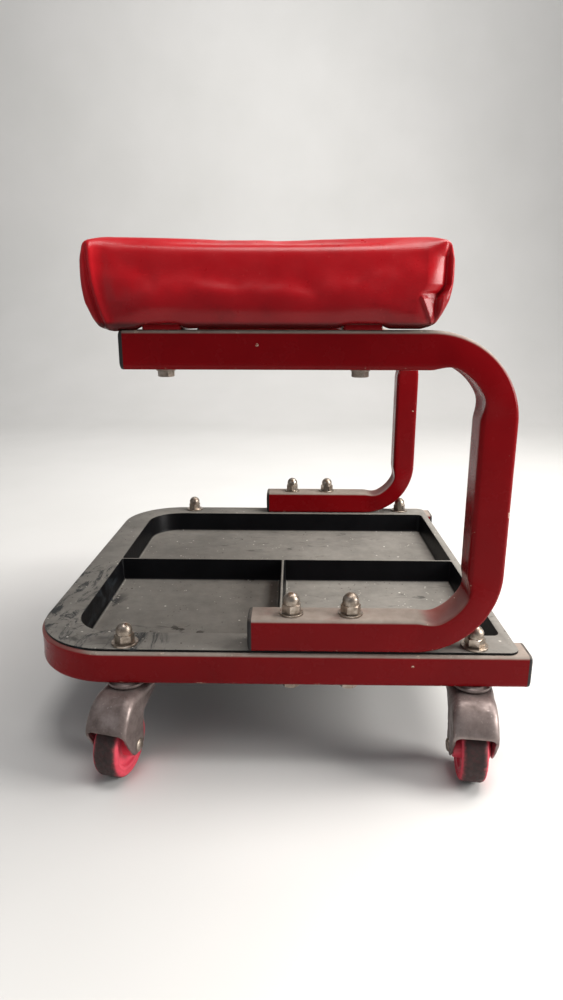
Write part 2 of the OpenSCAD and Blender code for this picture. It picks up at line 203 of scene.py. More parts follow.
def rounded_square(width, radius, arc_steps=6, flat_steps=8):
    """Outline of a square with round corners, anticlockwise, with points along its flats."""
    half = width / 2 - radius
    points = []
    turns = ((1, 1, (-1, 0)), (-1, 1, (0, -1)), (-1, -1, (1, 0)), (1, -1, (0, 1)))
    for quarter, (sx, sy, ahead) in enumerate(turns):
        corner = arc((sx * half, sy * half), radius, 90 * quarter, 90 * quarter + 90, arc_steps)
        points += corner
        for i in range(1, flat_steps):
            points.append(tuple(Vector(corner[-1]) + Vector(ahead) * (2 * half * i / flat_steps)))
    return points


def plan_outline(x0, x1, half_w, front_r, rear_r, steps=12):
    """Outline of a plan with round corners, anticlockwise from its rear right corner."""
    return (arc((x1 - rear_r, half_w - rear_r), rear_r, 0, 90, steps)
            + arc((x0 + front_r, half_w - front_r), front_r, 90, 180, steps)
            + arc((x0 + front_r, front_r - half_w), front_r, 180, 270, steps)
            + arc((x1 - rear_r, rear_r - half_w), rear_r, 270, 360, steps))


def prism(name, outline, z0, z1):
    count = len(outline)
    verts = [(x, y, z0) for x, y in outline] + [(x, y, z1) for x, y in outline]
    faces = [tuple(reversed(range(count))), tuple(range(count, 2 * count))]
    faces += [(i, (i + 1) % count, count + (i + 1) % count, count + i) for i in range(count)]
    mesh = mesh_from(name, verts, faces)
    turn_outwards(mesh)
    return mesh


def set_attribute(mesh, name, values):
    layer = mesh.attributes.new(name, "FLOAT", "POINT")
    layer.data.foreach_set("value", np.asarray(values, dtype=np.float32))


def coordinates(mesh):
    co = np.empty(len(mesh.vertices) * 3, dtype=np.float64)
    mesh.vertices.foreach_get("co", co)
    return co.reshape(-1, 3)


def set_coordinates(mesh, co):
    mesh.vertices.foreach_set("co", np.asarray(co, dtype=np.float64).ravel())
    mesh.update()


# ---------------------------------------------------------------- finishes


class Finish:
    """A procedural material, and short ways to add its nodes."""

    def __init__(self, name, **sockets):
        self.material = bpy.data.materials.new(name)
        self.material.use_nodes = True
        self.nodes = self.material.node_tree.nodes
        self.links = self.material.node_tree.links
        self.shader = self.nodes["Principled BSDF"]
        self.place = self.node("ShaderNodeTexCoord").outputs["Object"]
        for socket, value in sockets.items():
            self.shader.inputs[socket.replace("_", " ")].default_value = value

    def node(self, kind, **settings):
        made = self.nodes.new(kind)
        for key, value in settings.items():
            setattr(made, key, value)
        return made

    def feed(self, socket, value):
        """Joins a socket to an output, or sets its value."""
        if isinstance(value, bpy.types.NodeSocket):
            self.links.new(value, socket)
        elif isinstance(value, tuple) and len(value) == 3 and len(socket.default_value) == 4:
            socket.default_value = (*value, 1)
        else:
            socket.default_value = value

    def use(self, name, value):
        self.feed(self.shader.inputs[name], value)

    def stretched(self, scale):
        node = self.node("ShaderNodeMapping")
        self.feed(node.inputs["Vector"], self.place)
        self.feed(node.inputs["Scale"], scale)
        return node.outputs["Vector"]

    def noise(self, scale, detail=4, rough=0.55, place=None, distortion=0.0):
        node = self.node("ShaderNodeTexNoise")
        self.feed(node.inputs["Vector"], place or self.place)
        self.feed(node.inputs["Scale"], scale)
        self.feed(node.inputs["Detail"], detail)
        self.feed(node.inputs["Roughness"], rough)
        self.feed(node.inputs["Distortion"], distortion)
        return node.outputs["Fac"]

    def cells(self, scale, place=None, feature="F1", randomness=1.0):
        node = self.node("ShaderNodeTexVoronoi", feature=feature)
        self.feed(node.inputs["Vector"], place or self.place)
        self.feed(node.inputs["Scale"], scale)
        self.feed(node.inputs["Randomness"], randomness)
        return node.outputs["Distance"]

    def step(self, value, low, high, to_low=0.0, to_high=1.0):
        """Smooth step of a value from low..high to to_low..to_high."""
        node = self.node("ShaderNodeMapRange", interpolation_type="SMOOTHSTEP")
        limits = {"From Min": low, "From Max": high, "To Min": to_low, "To Max": to_high}
        for name, number in limits.items():
            node.inputs[name].default_value = number
        self.feed(node.inputs["Value"], value)
        return node.outputs["Result"]

    def math(self, operation, a, b=0.0, clamp=False):
        node = self.node("ShaderNodeMath", operation=operation, use_clamp=clamp)
        self.feed(node.inputs[0], a)
        self.feed(node.inputs[1], b)
        return node.outputs[0]

    def times(self, a, b):
        return self.math("MULTIPLY", a, b)

    def plus(self, a, b, clamp=False):
        return self.math("ADD", a, b, clamp=clamp)

    def most(self, a, b):
        return self.math("MAXIMUM", a, b)

    def mix(self, factor, a, b):
        node = self.node("ShaderNodeMix", data_type="RGBA")
        self.feed(node.inputs["Factor"], factor)
        self.feed(node.inputs[6], a)
        self.feed(node.inputs[7], b)
        return node.outputs[2]

    def ramp(self, value, *stops):
        """Colour ramp through (position, colour) stops."""
        node = self.node("ShaderNodeValToRGB")
        ramp = node.color_ramp
        while len(ramp.elements) < len(stops):
            ramp.elements.new(0.5)
        for element, (position, colour) in zip(ramp.elements, stops):
            element.position = position
            element.color = (*colour, 1)
        self.feed(node.inputs["Fac"], value)
        return node.outputs["Color"]

    def upward(self, low=0.35, high=0.9):
        """1 on faces that look up, 0 on those that don't."""
        normal = self.node("ShaderNodeNewGeometry").outputs["Normal"]
        split = self.node("ShaderNodeSeparateXYZ")
        self.feed(split.inputs[0], normal)
        return self.step(split.outputs["Z"], low, high)

    def attribute(self, name):
        return self.node("ShaderNodeAttribute", attribute_name=name).outputs["Fac"]

    def near(self, point, radius):
        """1 close to a point of the object, 0 past a radius."""
        node = self.node("ShaderNodeVectorMath", operation="DISTANCE")
        self.feed(node.inputs[0], self.place)
        node.inputs[1].default_value = point
        return self.step(node.outputs["Value"], radius * 0.6, radius, 1.0, 0.0)

    def bump(self, height, distance, strength=1.0, under=None):
        node = self.node("ShaderNodeBump")
        self.feed(node.inputs["Height"], height)
        self.feed(node.inputs["Distance"], distance)
        self.feed(node.inputs["Strength"], strength)
        if under is not None:
            self.feed(node.inputs["Normal"], under)
        self.feed(self.shader.inputs["Normal"], node.outputs["Normal"])
        return node.outputs["Normal"]


DUST = (0.235, 0.20, 0.165)


def red_enamel():
    """Gloss enamel on the tubes: slight orange peel, chips, and a film of dust where it faces up, thinned in
    the bends' dents as painted shade.
    """
    f = Finish("red_enamel", Specular_IOR_Level=0.10)
    cloudy = f.noise(9, detail=3)
    body = f.ramp(cloudy, (0.25, (0.138, 0.0012, 0.0028)), (0.75, (0.205, 0.0020, 0.0042)))
    film = f.times(f.upward(0.16, 0.62), f.step(f.noise(26, 7, 0.68), 0.26, 0.52, 0.72, 1.0))
    # painted shade: the dust film is thinned in the bends' dents so that these pockets read dark
    film = f.times(film, f.step(f.attribute("dent"), 0.05, 0.9, 1.0, 0.35))
    smear = f.step(f.noise(14, 8, 0.7), 0.56, 0.78, 0.0, 0.008)
    film = f.plus(film, smear, clamp=True)
    dust = f.mix(f.noise(160, 5), (0.35, 0.30, 0.26), (0.21, 0.170, 0.143))
    body = f.mix(film, body, dust)
    chips = f.times(f.step(f.cells(95), 0.055, 0.035, 0, 1), f.step(f.noise(18, 3), 0.60, 0.66))
    edges = f.times(f.attribute("edge"), f.step(f.noise(120, 6, 0.7), 0.62, 0.70))
    chips = f.most(chips, f.times(edges, 0.75))
    ragged = f.step(f.noise(900, 4, 0.7), 0.44, 0.52)
    for point in PAINT_CHIPS:
        chips = f.most(chips, f.times(f.near(point, CHIP_R), ragged))
    f.use("Base Color", f.mix(chips, body, (0.62, 0.50, 0.38)))
    rough = f.plus(f.step(f.noise(60, 5), 0.3, 0.7, 0.20, 0.30), f.times(film, 0.45))
    f.use("Roughness", rough)
    peel = f.bump(f.noise(520, 2), 0.12 * MM, 0.35)
    f.bump(f.times(chips, -1.0), 0.15 * MM, 0.8, under=peel)
    return f.material


def red_vinyl():
    """Glossy seat vinyl: fine leather grain, soft creases, rubbed and dusty in places, with painted shade
    darkening it towards its foot and near-black at its turned-under edge.
    """
    f = Finish("red_vinyl", Coat_Weight=0.14, Coat_Roughness=0.20, Specular_IOR_Level=0.17)
    cloudy = f.noise(11, detail=4, rough=0.6)
    body = f.ramp(cloudy, (0.28, (0.30, 0.003, 0.0065)), (0.72, (0.43, 0.006, 0.011)))
    grime = f.step(f.noise(34, 7, 0.68), 0.50, 0.78, 0.0, 0.30)
    split = f.node("ShaderNodeSeparateXYZ")
    f.feed(split.inputs[0], f.place)
    height = split.outputs["Z"]
    foot = low("seat_cover").z
    # painted shade: besides the random grime above, the cover is darkened towards its foot
    shade_height = f.plus(height, f.times(f.noise(26, 4), 0.022))
    grime = f.plus(grime, f.step(shade_height, foot + LOWER_SHADE[0], foot + LOWER_SHADE[1], 0.62, 0.0), clamp=True)
    body = f.mix(grime, body, (0.135, 0.0015, 0.004))
    # painted shade: the cover's foot and turned-under edge are painted near-black
    shade = f.step(height, foot + FOOT_SHADE[0], foot + FOOT_SHADE[1], 0.8, 0.0)
    body = f.mix(shade, body, (0.012, 0.001, 0.001))
    specks = f.step(f.noise(420, 3), 0.66, 0.76, 0.0, 0.14)
    f.use("Base Color", f.mix(specks, body, (0.55, 0.10, 0.09)))
    f.use("Roughness", f.step(f.noise(75, 6, 0.6), 0.3, 0.72, 0.27, 0.44))
    grain = f.plus(f.cells(900, feature="SMOOTH_F1"), f.times(f.noise(1500, 3), 0.5))
    fine = f.bump(grain, 0.10 * MM, 0.30)
    long_creases = f.noise(1, 5, 0.6, place=f.stretched((18, 60, 95)), distortion=0.6)
    f.bump(long_creases, 0.9 * MM, 0.13, under=fine)
    return f.material


def tray_plastic():
    """Black moulded plastic under grey workshop dust, rubbed through where tools slide."""
    f = Finish("tray_plastic", Specular_IOR_Level=0.09)
    black = f.ramp(f.noise(30, 5), (0.3, (0.0022, 0.0022, 0.0027)), (0.7, (0.0048, 0.0048, 0.0056)))
    fall = f.noise(16, 7, 0.62)
    dust = f.mix(f.noise(90, 6, 0.7), (0.285, 0.27, 0.245), (0.165, 0.156, 0.140))
    rubbed = f.step(f.noise(1, 6, 0.7, place=f.stretched((26, 70, 40)), distortion=1.2), 0.56, 0.70)
    rubbed = f.times(rubbed, f.step(f.noise(7, 2), 0.42, 0.58))
    cover = f.times(f.upward(0.5, 0.9), f.step(fall, 0.25, 0.6, 0.74, 0.97))
    cover = f.math("SUBTRACT", cover, f.times(rubbed, 0.55), clamp=True)
    body = f.mix(cover, black, dust)
    worn = 0.0
    for point, reach in TRAY_RUBS:
        worn = f.most(worn, f.near(point, reach))
    streaks = f.step(f.noise(1, 7, 0.72, place=f.stretched((60, 24, 40)), distortion=1.6), 0.47, 0.60)
    body = f.mix(f.times(f.times(worn, streaks), 0.85), body, (0.022, 0.026, 0.030))
    oily = f.step(f.noise(85, 5, 0.6, distortion=0.8), 0.56, 0.60)
    smears = f.times(f.near(TRAY_SMEAR, SMEAR_R), oily)
    body = f.mix(f.times(smears, 0.8), body, (0.030, 0.026, 0.022))
    flecks = f.times(f.step(f.cells(240), 0.19, 0.12, 0, 1), f.step(f.noise(46, 4), 0.51, 0.56))
    crumbs = f.times(f.step(f.cells(110), 0.14, 0.09, 0, 1), f.step(f.noise(30, 3), 0.52, 0.56))
    crumbs = f.times(f.most(crumbs, flecks), f.upward(0.5, 0.9))
    grit = f.ramp(f.noise(60, 2), (0.42, (0.035, 0.025, 0.020)), (0.62, (0.60, 0.57, 0.52)))
    f.use("Base Color", f.mix(crumbs, body, grit))
    f.use("Roughness", f.step(cover, 0.0, 1.0, 0.38, 0.85))
    grain = f.bump(f.noise(700, 4, 0.6), 0.12 * MM, 0.5)
    f.bump(f.plus(f.noise(130, 5), f.times(crumbs, 2.0)), 0.35 * MM, 0.5, under=grain)
    return f.material


def black_cap():
    f = Finish("black_cap", Specular_IOR_Level=0.25)
    dusty = f.times(f.noise(80, 6, 0.7), f.upward(-0.3, 0.9))
    body = f.mix(f.step(dusty, 0.2, 0.8, 0.05, 0.7), (0.010, 0.010, 0.012), DUST)
    f.use("Base Color", body)
    f.use("Roughness", f.step(f.noise(140, 4), 0.3, 0.7, 0.34, 0.55))
    f.bump(f.noise(600, 3), 0.08 * MM, 0.4)
    return f.material


def bright_zinc():
    """Zinc-plated fasteners, gone matt and tarnished dark in places."""
    f = Finish("bright_zinc", Metallic=1.0)
    tarnish = f.noise(150, 7, 0.68)
    body = f.ramp(tarnish, (0.28, (0.56, 0.50, 0.44)), (0.50, (0.34, 0.285, 0.235)),
                  (0.72, (0.13, 0.098, 0.075)))
    f.use("Base Color", body)
    f.use("Roughness", f.step(tarnish, 0.3, 0.75, 0.26, 0.58))
    f.bump(f.noise(900, 4), 0.06 * MM, 0.5)
    return f.material


def dull_zinc():
    """Pressed steel of the casters: thin zinc under brown grime, brighter along fine scratches."""
    f = Finish("dull_zinc", Metallic=0.6, Specular_IOR_Level=0.35)
    grime = f.noise(70, 7, 0.66)
    body = f.ramp(grime, (0.28, (0.29, 0.240, 0.225)), (0.52, (0.18, 0.142, 0.132)),
                  (0.78, (0.075, 0.056, 0.050)))
    scratch = f.noise(1, 4, 0.6, place=f.stretched((420, 420, 60)))
    f.use("Base Color", f.mix(f.step(scratch, 0.62, 0.72, 0, 0.4), body, (0.50, 0.43, 0.41)))
    f.use("Roughness", f.step(grime, 0.3, 0.75, 0.36, 0.66))
    f.bump(f.noise(480, 5), 0.10 * MM, 0.55)
    return f.material


def wheel_tread():
    """Red polyurethane with a band of floor dirt pressed into it."""
    f = Finish("wheel_tread", Specular_IOR_Level=0.3)
    across = f.attribute("across")
    wander = f.times(f.math("SUBTRACT", f.noise(140, 5, 0.7), 0.5), 0.9)
    band = f.step(f.math("ABSOLUTE", f.plus(across, wander)), 0.98, 0.60)
    worn = f.step(f.attribute("radial"), 0.93, 0.99)
    band = f.times(band, worn)
    red = f.ramp(f.noise(110, 5), (0.3, (0.52, 0.035, 0.062)), (0.7, (0.66, 0.075, 0.105)))
    film = f.times(worn, f.step(f.noise(260, 6, 0.7), 0.36, 0.62, 0.45, 0.95))
    body = f.mix(film, red, (0.088, 0.044, 0.041))
    f.use("Base Color", f.mix(f.times(band, 0.92), body, (0.026, 0.020, 0.019)))
    f.use("Roughness", f.step(f.noise(300, 4), 0.3, 0.7, 0.5, 0.78))
    f.bump(f.noise(650, 5, 0.7), 0.18 * MM, 0.6)
    return f.material


def wheel_hub():
    f = Finish("wheel_hub")
    red = f.ramp(f.noise(60, 4), (0.3, (0.60, 0.040, 0.075)), (0.7, (0.74, 0.070, 0.110)))
    f.use("Base Color", f.mix(f.step(f.noise(170, 6, 0.7), 0.55, 0.78, 0.0, 0.5), red, (0.25, 0.08, 0.07)))
    f.use("Roughness", f.step(f.noise(220, 4), 0.3, 0.7, 0.34, 0.5))
    f.bump(f.noise(520, 3), 0.06 * MM, 0.4)
    return f.material


def plywood():
    f = Finish("plywood", Roughness=0.7)
    rings = f.noise(1, 6, 0.6, place=f.stretched((6, 60, 400)), distortion=1.5)
    grain = f.noise(1, 5, 0.7, place=f.stretched((60, 900, 900)))
    wood = f.ramp(rings, (0.3, (0.50, 0.33, 0.17)), (0.7, (0.66, 0.48, 0.28)))
    f.use("Base Color", f.mix(f.step(grain, 0.4, 0.75, 0, 0.5), wood, (0.33, 0.20, 0.10)))
    f.bump(grain, 0.2 * MM, 0.5)
    return f.material


def pale_floor():
    f = Finish("pale_floor", Roughness=0.55)
    f.use("Base Color", f.ramp(f.noise(3, 3), (0.3, (0.58, 0.575, 0.56)), (0.7, (0.62, 0.612, 0.60))))
    return f.material


# ---------------------------------------------------------------- tubes and their caps


def bent_path(corners, radius, straight_step=11 * MM, bend_steps=26):
    """Centre line through corners, each rounded to a radius.

    Returns (place, direction, way to the inside of the bend, how far into a bend from 0 to 1)."""
    stations = []
    last = corners[0]
    for before, corner, after in zip(corners, corners[1:], corners[2:]):
        d0, d1 = (corner - before).normalized(), (after - corner).normalized()
        start = corner - d0 * radius
        centre = start + d1 * radius
        count = max(2, round((start - last).length / straight_step))
        stations += [(last.lerp(start, i / count), d0, d1, 0.0) for i in range(count)]
        for i in range(bend_steps):
            t = i / bend_steps
            angle = t * math.pi / 2
            place = centre - d1 * radius * math.cos(angle) + d0 * radius * math.sin(angle)
            direction = d0 * math.cos(angle) + d1 * math.sin(angle)
            inward = d1 * math.cos(angle) - d0 * math.sin(angle)
            stations.append((place, direction, inward, t))
        last = corner + d1 * radius
        inside = -d0
    end = corners[-1]
    direction = (end - last).normalized()
    count = max(2, round((end - last).length / straight_step))
    stations += [(last.lerp(end, i / count), direction, inside, 0.0) for i in range(count + 1)]
    return stations


PINCH = 6.4 * MM        # how far a bend's inner wall is pulled in
SWELL = 1.4 * MM        # how far its side walls stand out
FLATTEN = 0.8 * MM      # how far its outer wall is drawn in
DENT_END = 0.30         # share of the bend over which the dent comes, and goes
CLEAN_BENDS = 120 * MM  # height over the deck below which a bend's dent gets thinner dust, as painted shade
PLUG_DEPTH = 10 * MM    # how far a cap's plug reaches into its tube
CAP_PROUD = high("base_end_caps").x - high("base_frame").x


def clamp(value):
    return max(0.0, min(1.0, value))


def bend_dent(t):
    """Depth of the dent along a bend from 0 to 1: it comes and goes smoothly near the bend's two ends."""
    rise = clamp(min(t, 1 - t) / DENT_END)
    return rise * rise * (3 - 2 * rise)


def tube_mesh(name, corners, radius, normal):
    """Hollow square tube along a bent path, with the dented inner wall that cold bending leaves."""
    stations = bent_path(corners, radius)
    outer = rounded_square(TUBE, TUBE_CORNER)
    inner = rounded_square(TUBE - 2 * TUBE_WALL, TUBE_CORNER - TUBE_WALL / 2)
    half = TUBE / 2
    on_round = 0.25 * MM
    edge_of = [float(min(abs(abs(a) - half), abs(abs(b) - half)) > on_round) for a, b in outer]
    verts, edge, dent, faces = [], [], [], []
    count = len(outer)
    for section in (outer, inner):
        for place, _, inward, t in stations:
            strain = bend_dent(t)
            for (a, b), mark in zip(section, edge_of):
                belly = max(0.0, 1 - (b / half) ** 2)
                if a > 0:
                    a -= PINCH * (0.72 + 0.28 * belly) * strain * (a / half) ** 2
                else:
                    a += FLATTEN * belly * strain * (a / half) ** 2
                side = max(0.0, 1 - ((a - 0.25 * half) / half) ** 2)
                b += math.copysign(SWELL * side * strain * (b / half) ** 2, b)
                verts.append(place + inward * a + normal * b)
                edge.append(mark)
                # dent marks where the enamel's dust is thinned as painted shade, in the low bends only
                dent.append(strain if place.z < DECK + CLEAN_BENDS else 0.0)
    rings = len(stations)
    for shell in range(2):
        for r in range(rings - 1):
            first = (shell * rings + r) * count
            for i in range(count):
                j = (i + 1) % count
                quad = (first + i, first + j, first + count + j, first + count + i)
                faces.append(quad if shell == 0 else quad[::-1])
    for r in (0, rings - 1):
        first, second = r * count, (rings + r) * count
        for i in range(count):
            j = (i + 1) % count
            faces.append((first + i, first + j, second + j, second + i))
    mesh = mesh_from(name, verts, faces)
    set_attribute(mesh, "edge", edge)
    set_attribute(mesh, "dent", dent)
    turn_outwards(mesh)
    smooth(mesh, 40)
    return mesh


def base_corners():
    lo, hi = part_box("base_frame")
    z = (lo.z + hi.z) / 2
    x = lo.x + TUBE / 2
    return [Vector((hi.x, -LINE_Y, z)), Vector((x, -LINE_Y, z)),
            Vector((x, LINE_Y, z)), Vector((hi.x, LINE_Y, z))]


def side_frame_corners(side):
    lo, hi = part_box("side_frame_" + side)
    y = (lo.y + hi.y) / 2
    post = hi.x - TUBE / 2
    return [Vector((LOWER_ARM_X, y, lo.z + TUBE / 2)), Vector((post, y, lo.z + TUBE / 2)),
            Vector((post, y, hi.z - TUBE / 2)), Vector((lo.x, y, hi.z - TUBE / 2))]


def end_cap_mesh(place, direction):
    """Domed plastic plug in a tube's end: its plug, a flange, and a low crown."""
    direction = direction.normalized()
    side = Vector((0, 1, 0))
    up = direction.cross(side)
    bore = TUBE - 2 * TUBE_WALL - 0.2 * MM
    crown = ((0, 0.30), (0.7, 0.58), (3, 0.80), (7, 0.92), (14, 0.99), (20, 1))
    rings = [(bore, -PLUG_DEPTH), (bore, 0.0), (TUBE, 0.0)]
    rings += [(TUBE - narrower * MM, rise * CAP_PROUD) for narrower, rise in crown]
    verts, faces = [], []
    for width, out in rings:
        radius = min(TUBE_CORNER, width * 0.3)
        section = rounded_square(width, radius, 5, 4)
        verts += [place + direction * out + side * a + up * b for a, b in section]
    count = len(section)
    for r in range(len(rings) - 1):
        for i in range(count):
            j = (i + 1) % count
            faces.append((r * count + i, r * count + j, (r + 1) * count + j, (r + 1) * count + i))
    faces.append(tuple(range(count)))
    last = (len(rings) - 1) * count
    faces.append(tuple(range(last, last + count)))
    mesh = mesh_from("cap", verts, faces)
    turn_outwards(mesh)
    smooth(mesh, 50)
    return mesh


def strap(name):
    """Flat steel strap between the arms and the seat, with its edges broken."""
    lo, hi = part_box(name)
    outline = plan_outline(lo.x, hi.x, hi.y, 2 * MM, 2 * MM, 5)
    piece = add_object("visual_" + name, prism(name, outline, lo.z, hi.z), PAINT)
    bevel(piece, 0.5 * MM, 2)
    baked(piece)
    smooth(piece.data)
    set_attribute(piece.data, "edge", np.zeros(len(piece.data.vertices)))
    return piece


# ---------------------------------------------------------------- tray

TRAY_WALL = 2.2 * MM
TRAY_FLANGE = 2 * MM
TRAY_CORNER = 8 * MM
FLANGE_INSET = 2.5 * MM
BASIN_GAP = 3 * MM
REAR_LIP = 5 * MM
FRONT_BAY = 162.5 * MM


def tray_bay(x0, x1, y0, y1, corners, depth, draft=1.4 * MM, steps=12):
    """Cutter for one compartment: walls that lean in by a draft, with a round at the floor.

    corners holds the radius of the (-x,-y), (x,-y), (x,y) and (-x,y) corners."""
    over, fillet, least = 3 * MM, 3.2 * MM, 0.2 * MM
    rows = [(0.0, over), (0.0, 0.0), (draft * 0.85, -depth + fillet)]
    rows += [(draft + fillet * (1 - math.cos(t)) * 0.9, -depth + fillet * (1 - math.sin(t)))
             for t in (math.radians(a) for a in (25, 50, 72, 90))]
    centres = ((x0, y0, 1, 1, 180), (x1, y0, -1, 1, 270), (x1, y1, -1, -1, 0), (x0, y1, 1, -1, 90))
    verts, faces = [], []
    for inset, z in rows:
        for (x, y, sx, sy, start), radius in zip(centres, corners):
            inner = max(radius - inset, least)
            keep = radius if radius > inset else inset + least
            corner = arc((x + sx * keep, y + sy * keep), inner, start, start + 90, steps)
            verts += [(px, py, DECK + z) for px, py in corner]
    count = 4 * (steps + 1)
    for r in range(len(rows) - 1):
        for i in range(count):
            j = (i + 1) % count
            faces.append((r * count + i, r * count + j, (r + 1) * count + j, (r + 1) * count + i))
    faces.append(tuple(range(count)))
    faces.append(tuple(range((len(rows) - 1) * count, len(rows) * count)))
    mesh = mesh_from("bay", verts, faces)
    turn_outwards(mesh)
    return add_object("bay", mesh)


def tool_tray():
    base_lo, base_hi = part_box("base_frame")
    lo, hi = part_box("tool_tray")
    floor_z = lo.z + TRAY_WALL
    rail_x = base_lo.x + TUBE + BASIN_GAP
    rail_y = base_hi.y - TUBE - BASIN_GAP
    rear_x = hi.x - REAR_LIP
    bend = BASE_BEND - TUBE - BASIN_GAP
    flange = prism("flange", plan_outline(lo.x, hi.x, hi.y, BASE_BEND - FLANGE_INSET, TRAY_CORNER, 24),
                   DECK - TRAY_FLANGE, DECK)
    basin = prism("basin", plan_outline(rail_x, rear_x, rail_y, bend, TRAY_CORNER, 16),
                  lo.z, DECK - 0.5 * MM)
    tray = add_object("visual_tool_tray", flange, TRAY)
    cut(tray, add_object("basin", basin), "UNION")
    depth = DECK - floor_z
    x0, x1, y = rail_x + TRAY_WALL, rear_x - TRAY_WALL, rail_y - TRAY_WALL
    divider = x0 + FRONT_BAY
    half = TRAY_WALL / 2
    big, small, inner = bend - TRAY_WALL, TRAY_CORNER - TRAY_WALL, 2 * MM
    cut(tray, tray_bay(x0, divider, -y, -half, (big, inner, inner, inner), depth))
    cut(tray, tray_bay(divider + TRAY_WALL, x1, -y, -half, (inner, small, inner, inner), depth))
    cut(tray, tray_bay(x0, x1, half, y, (inner, inner, small, big), depth))
    bevel(tray, 0.55 * MM, 2, 42)
    baked(tray)
    smooth(tray.data, 38)
    return tray


# ---------------------------------------------------------------- fasteners


def hex_prism(flats, z0, z1):
    return prism("hex", arc((0, 0), flats / math.sqrt(3), 0, 300, 5), z0, z1)


def chamfered_hex(name, flats, z0, z1, both=False):
    """Hexagon whose corners are turned off, as on a nut or a bolt head."""
    piece = add_object(name, hex_prism(flats, z0, z1))
    reach, flat = flats / math.sqrt(3) + 0.05 * MM, flats / 2 - 0.1 * MM
    drop = 0.66 * (flats / math.sqrt(3) - flats / 2)
    top = [(0, z1), (flat, z1), (reach, z1 - drop)]
    if both:
        foot = [(reach, z0 + drop), (flat, z0), (0, z0)]
    else:
        foot = [(reach, z0 - MM), (0, z0 - MM)]
    cut(piece, add_object("turned", lathe("turned", top + foot, 64)), "INTERSECT")
    mesh = piece.data.copy()
    bpy.data.objects.remove(piece)
    smooth(mesh, 32)
    return mesh


def acorn_nut(flats, height, hexagon):
    """Domed nut: a hexagon, a short neck and a round crown."""
    crown = flats / 2 - 0.35 * MM
    inside_hex = hexagon - 2 * MM
    profile = [(0, height)] + arc((0, height - crown), crown, 86, 0, 12)
    profile += [(crown, inside_hex), (0, inside_hex)]
    piece = add_object("acorn", chamfered_hex("hex", flats, 0, hexagon, both=True))
    cut(piece, add_object("dome", lathe("dome", profile, 40)), "UNION")
    mesh = piece.data.copy()
    bpy.data.objects.remove(piece)
    smooth(mesh, 34)
    return mesh


def washer_mesh(radius, bore, thickness):
    soft = 0.25 * MM
    return lathe("washer", [(bore, 0), (radius - soft, 0), (radius, soft), (radius, thickness - soft),
                            (radius - soft, thickness), (bore, thickness)], 40)


def bolt_mesh(flats, head, shank, length):
    """Bolt that points up, with its head below z = 0, and the lines of its thread near its tip."""
    piece = chamfered_hex("head", flats, 0, head)
    piece = moved(piece, Matrix.Rotation(math.pi, 4, "X"))
    pitch, depth, threaded, in_head = 1.25 * MM, 0.5 * MM, 14 * MM, 0.5 * MM
    z = length - threaded
    profile = [(0, -in_head), (shank, -in_head), (shank, z)]
    while z < length - 1.5 * MM:
        profile += [(shank - depth, z + pitch / 2), (shank, z + pitch)]
        z += pitch
    profile += [(shank - depth, length), (0, length)]
    return joined_mesh("bolt", [piece, lathe("shank", profile, 24)])


def copies(name, part, spots, finish, turn=0.0, seed=1):
    """Geometry Nodes: a copy of one part on every spot, each turned by up to an angle, as one plain mesh."""
    part.materials.clear()
    master = add_object(name + "_master", part)
    points = bpy.data.meshes.new(name)
    points.from_pydata([tuple(s) for s in spots], [], [])
    piece = add_object(name, points)
    tree = bpy.data.node_groups.new(name, "GeometryNodeTree")
    tree.interface.new_socket("Spots", in_out="INPUT", socket_type="NodeSocketGeometry")
    part_in = tree.interface.new_socket("Part", in_out="INPUT", socket_type="NodeSocketObject")
    turn_in = tree.interface.new_socket("Largest turn", in_out="INPUT", socket_type="NodeSocketFloat")
    seed_in = tree.interface.new_socket("Seed", in_out="INPUT", socket_type="NodeSocketInt")
    tree.interface.new_socket("Parts", in_out="OUTPUT", socket_type="NodeSocketGeometry")
    made = {key: tree.nodes.new(kind) for key, kind in (
        ("in", "NodeGroupInput"), ("info", "GeometryNodeObjectInfo"), ("random", "FunctionNodeRandomValue"),
        ("turn", "ShaderNodeCombineXYZ"), ("points", "GeometryNodeMeshToPoints"),
        ("place", "GeometryNodeInstanceOnPoints"), ("real", "GeometryNodeRealizeInstances"),
        ("paint", "GeometryNodeSetMaterial"), ("out", "NodeGroupOutput"))}
    made["random"].data_type = "FLOAT"
    made["paint"].inputs["Material"].default_value = finish
    for a, out, b, into in (
            ("in", "Spots", "points", "Mesh"), ("points", "Points", "place", "Points"),
            ("in", "Part", "info", "Object"), ("info", "Geometry", "place", "Instance"),
            ("turn", "Vector", "place", "Rotation"), ("place", "Instances", "real", "Geometry"),
            ("real", "Geometry", "paint", "Geometry"), ("paint", "Geometry", "out", "Parts")):
        tree.links.new(made[a].outputs[out], made[b].inputs[into])
    tree.links.new(made["in"].outputs["Largest turn"], made["random"].inputs[3])
    tree.links.new(made["in"].outputs["Seed"], made["random"].inputs["Seed"])
    tree.links.new(made["random"].outputs[1], made["turn"].inputs["Z"])
    mod = piece.modifiers.new(name, "NODES")
    mod.node_group = tree
    mod[part_in.identifier] = master
    mod[turn_in.identifier] = turn
    mod[seed_in.identifier] = seed
    baked(piece)
    bpy.data.objects.remove(master)
    return piece


def finished(piece, body, slot, *nodes):
    """Rides and replaces a piece in one go."""
    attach(piece, body)
    if nodes:
        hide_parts(*nodes)
    return piece


# ---------------------------------------------------------------- casters

FORK_STEEL = 2.3 * MM
FORK_CORNER = 7 * MM


def along(points, t):
    """Point at a fraction t of a polyline's length, and t may not leave 0..1."""
    steps = [math.dist(a, b) for a, b in zip(points, points[1:])]
    left = t * sum(steps)
    for a, b, step in zip(points, points[1:], steps):
        if left <= step + 1e-9:
            k = left / step if step else 0
            return tuple(p + (q - p) * k for p, q in zip(a, b))
        left -= step
    return points[-1]


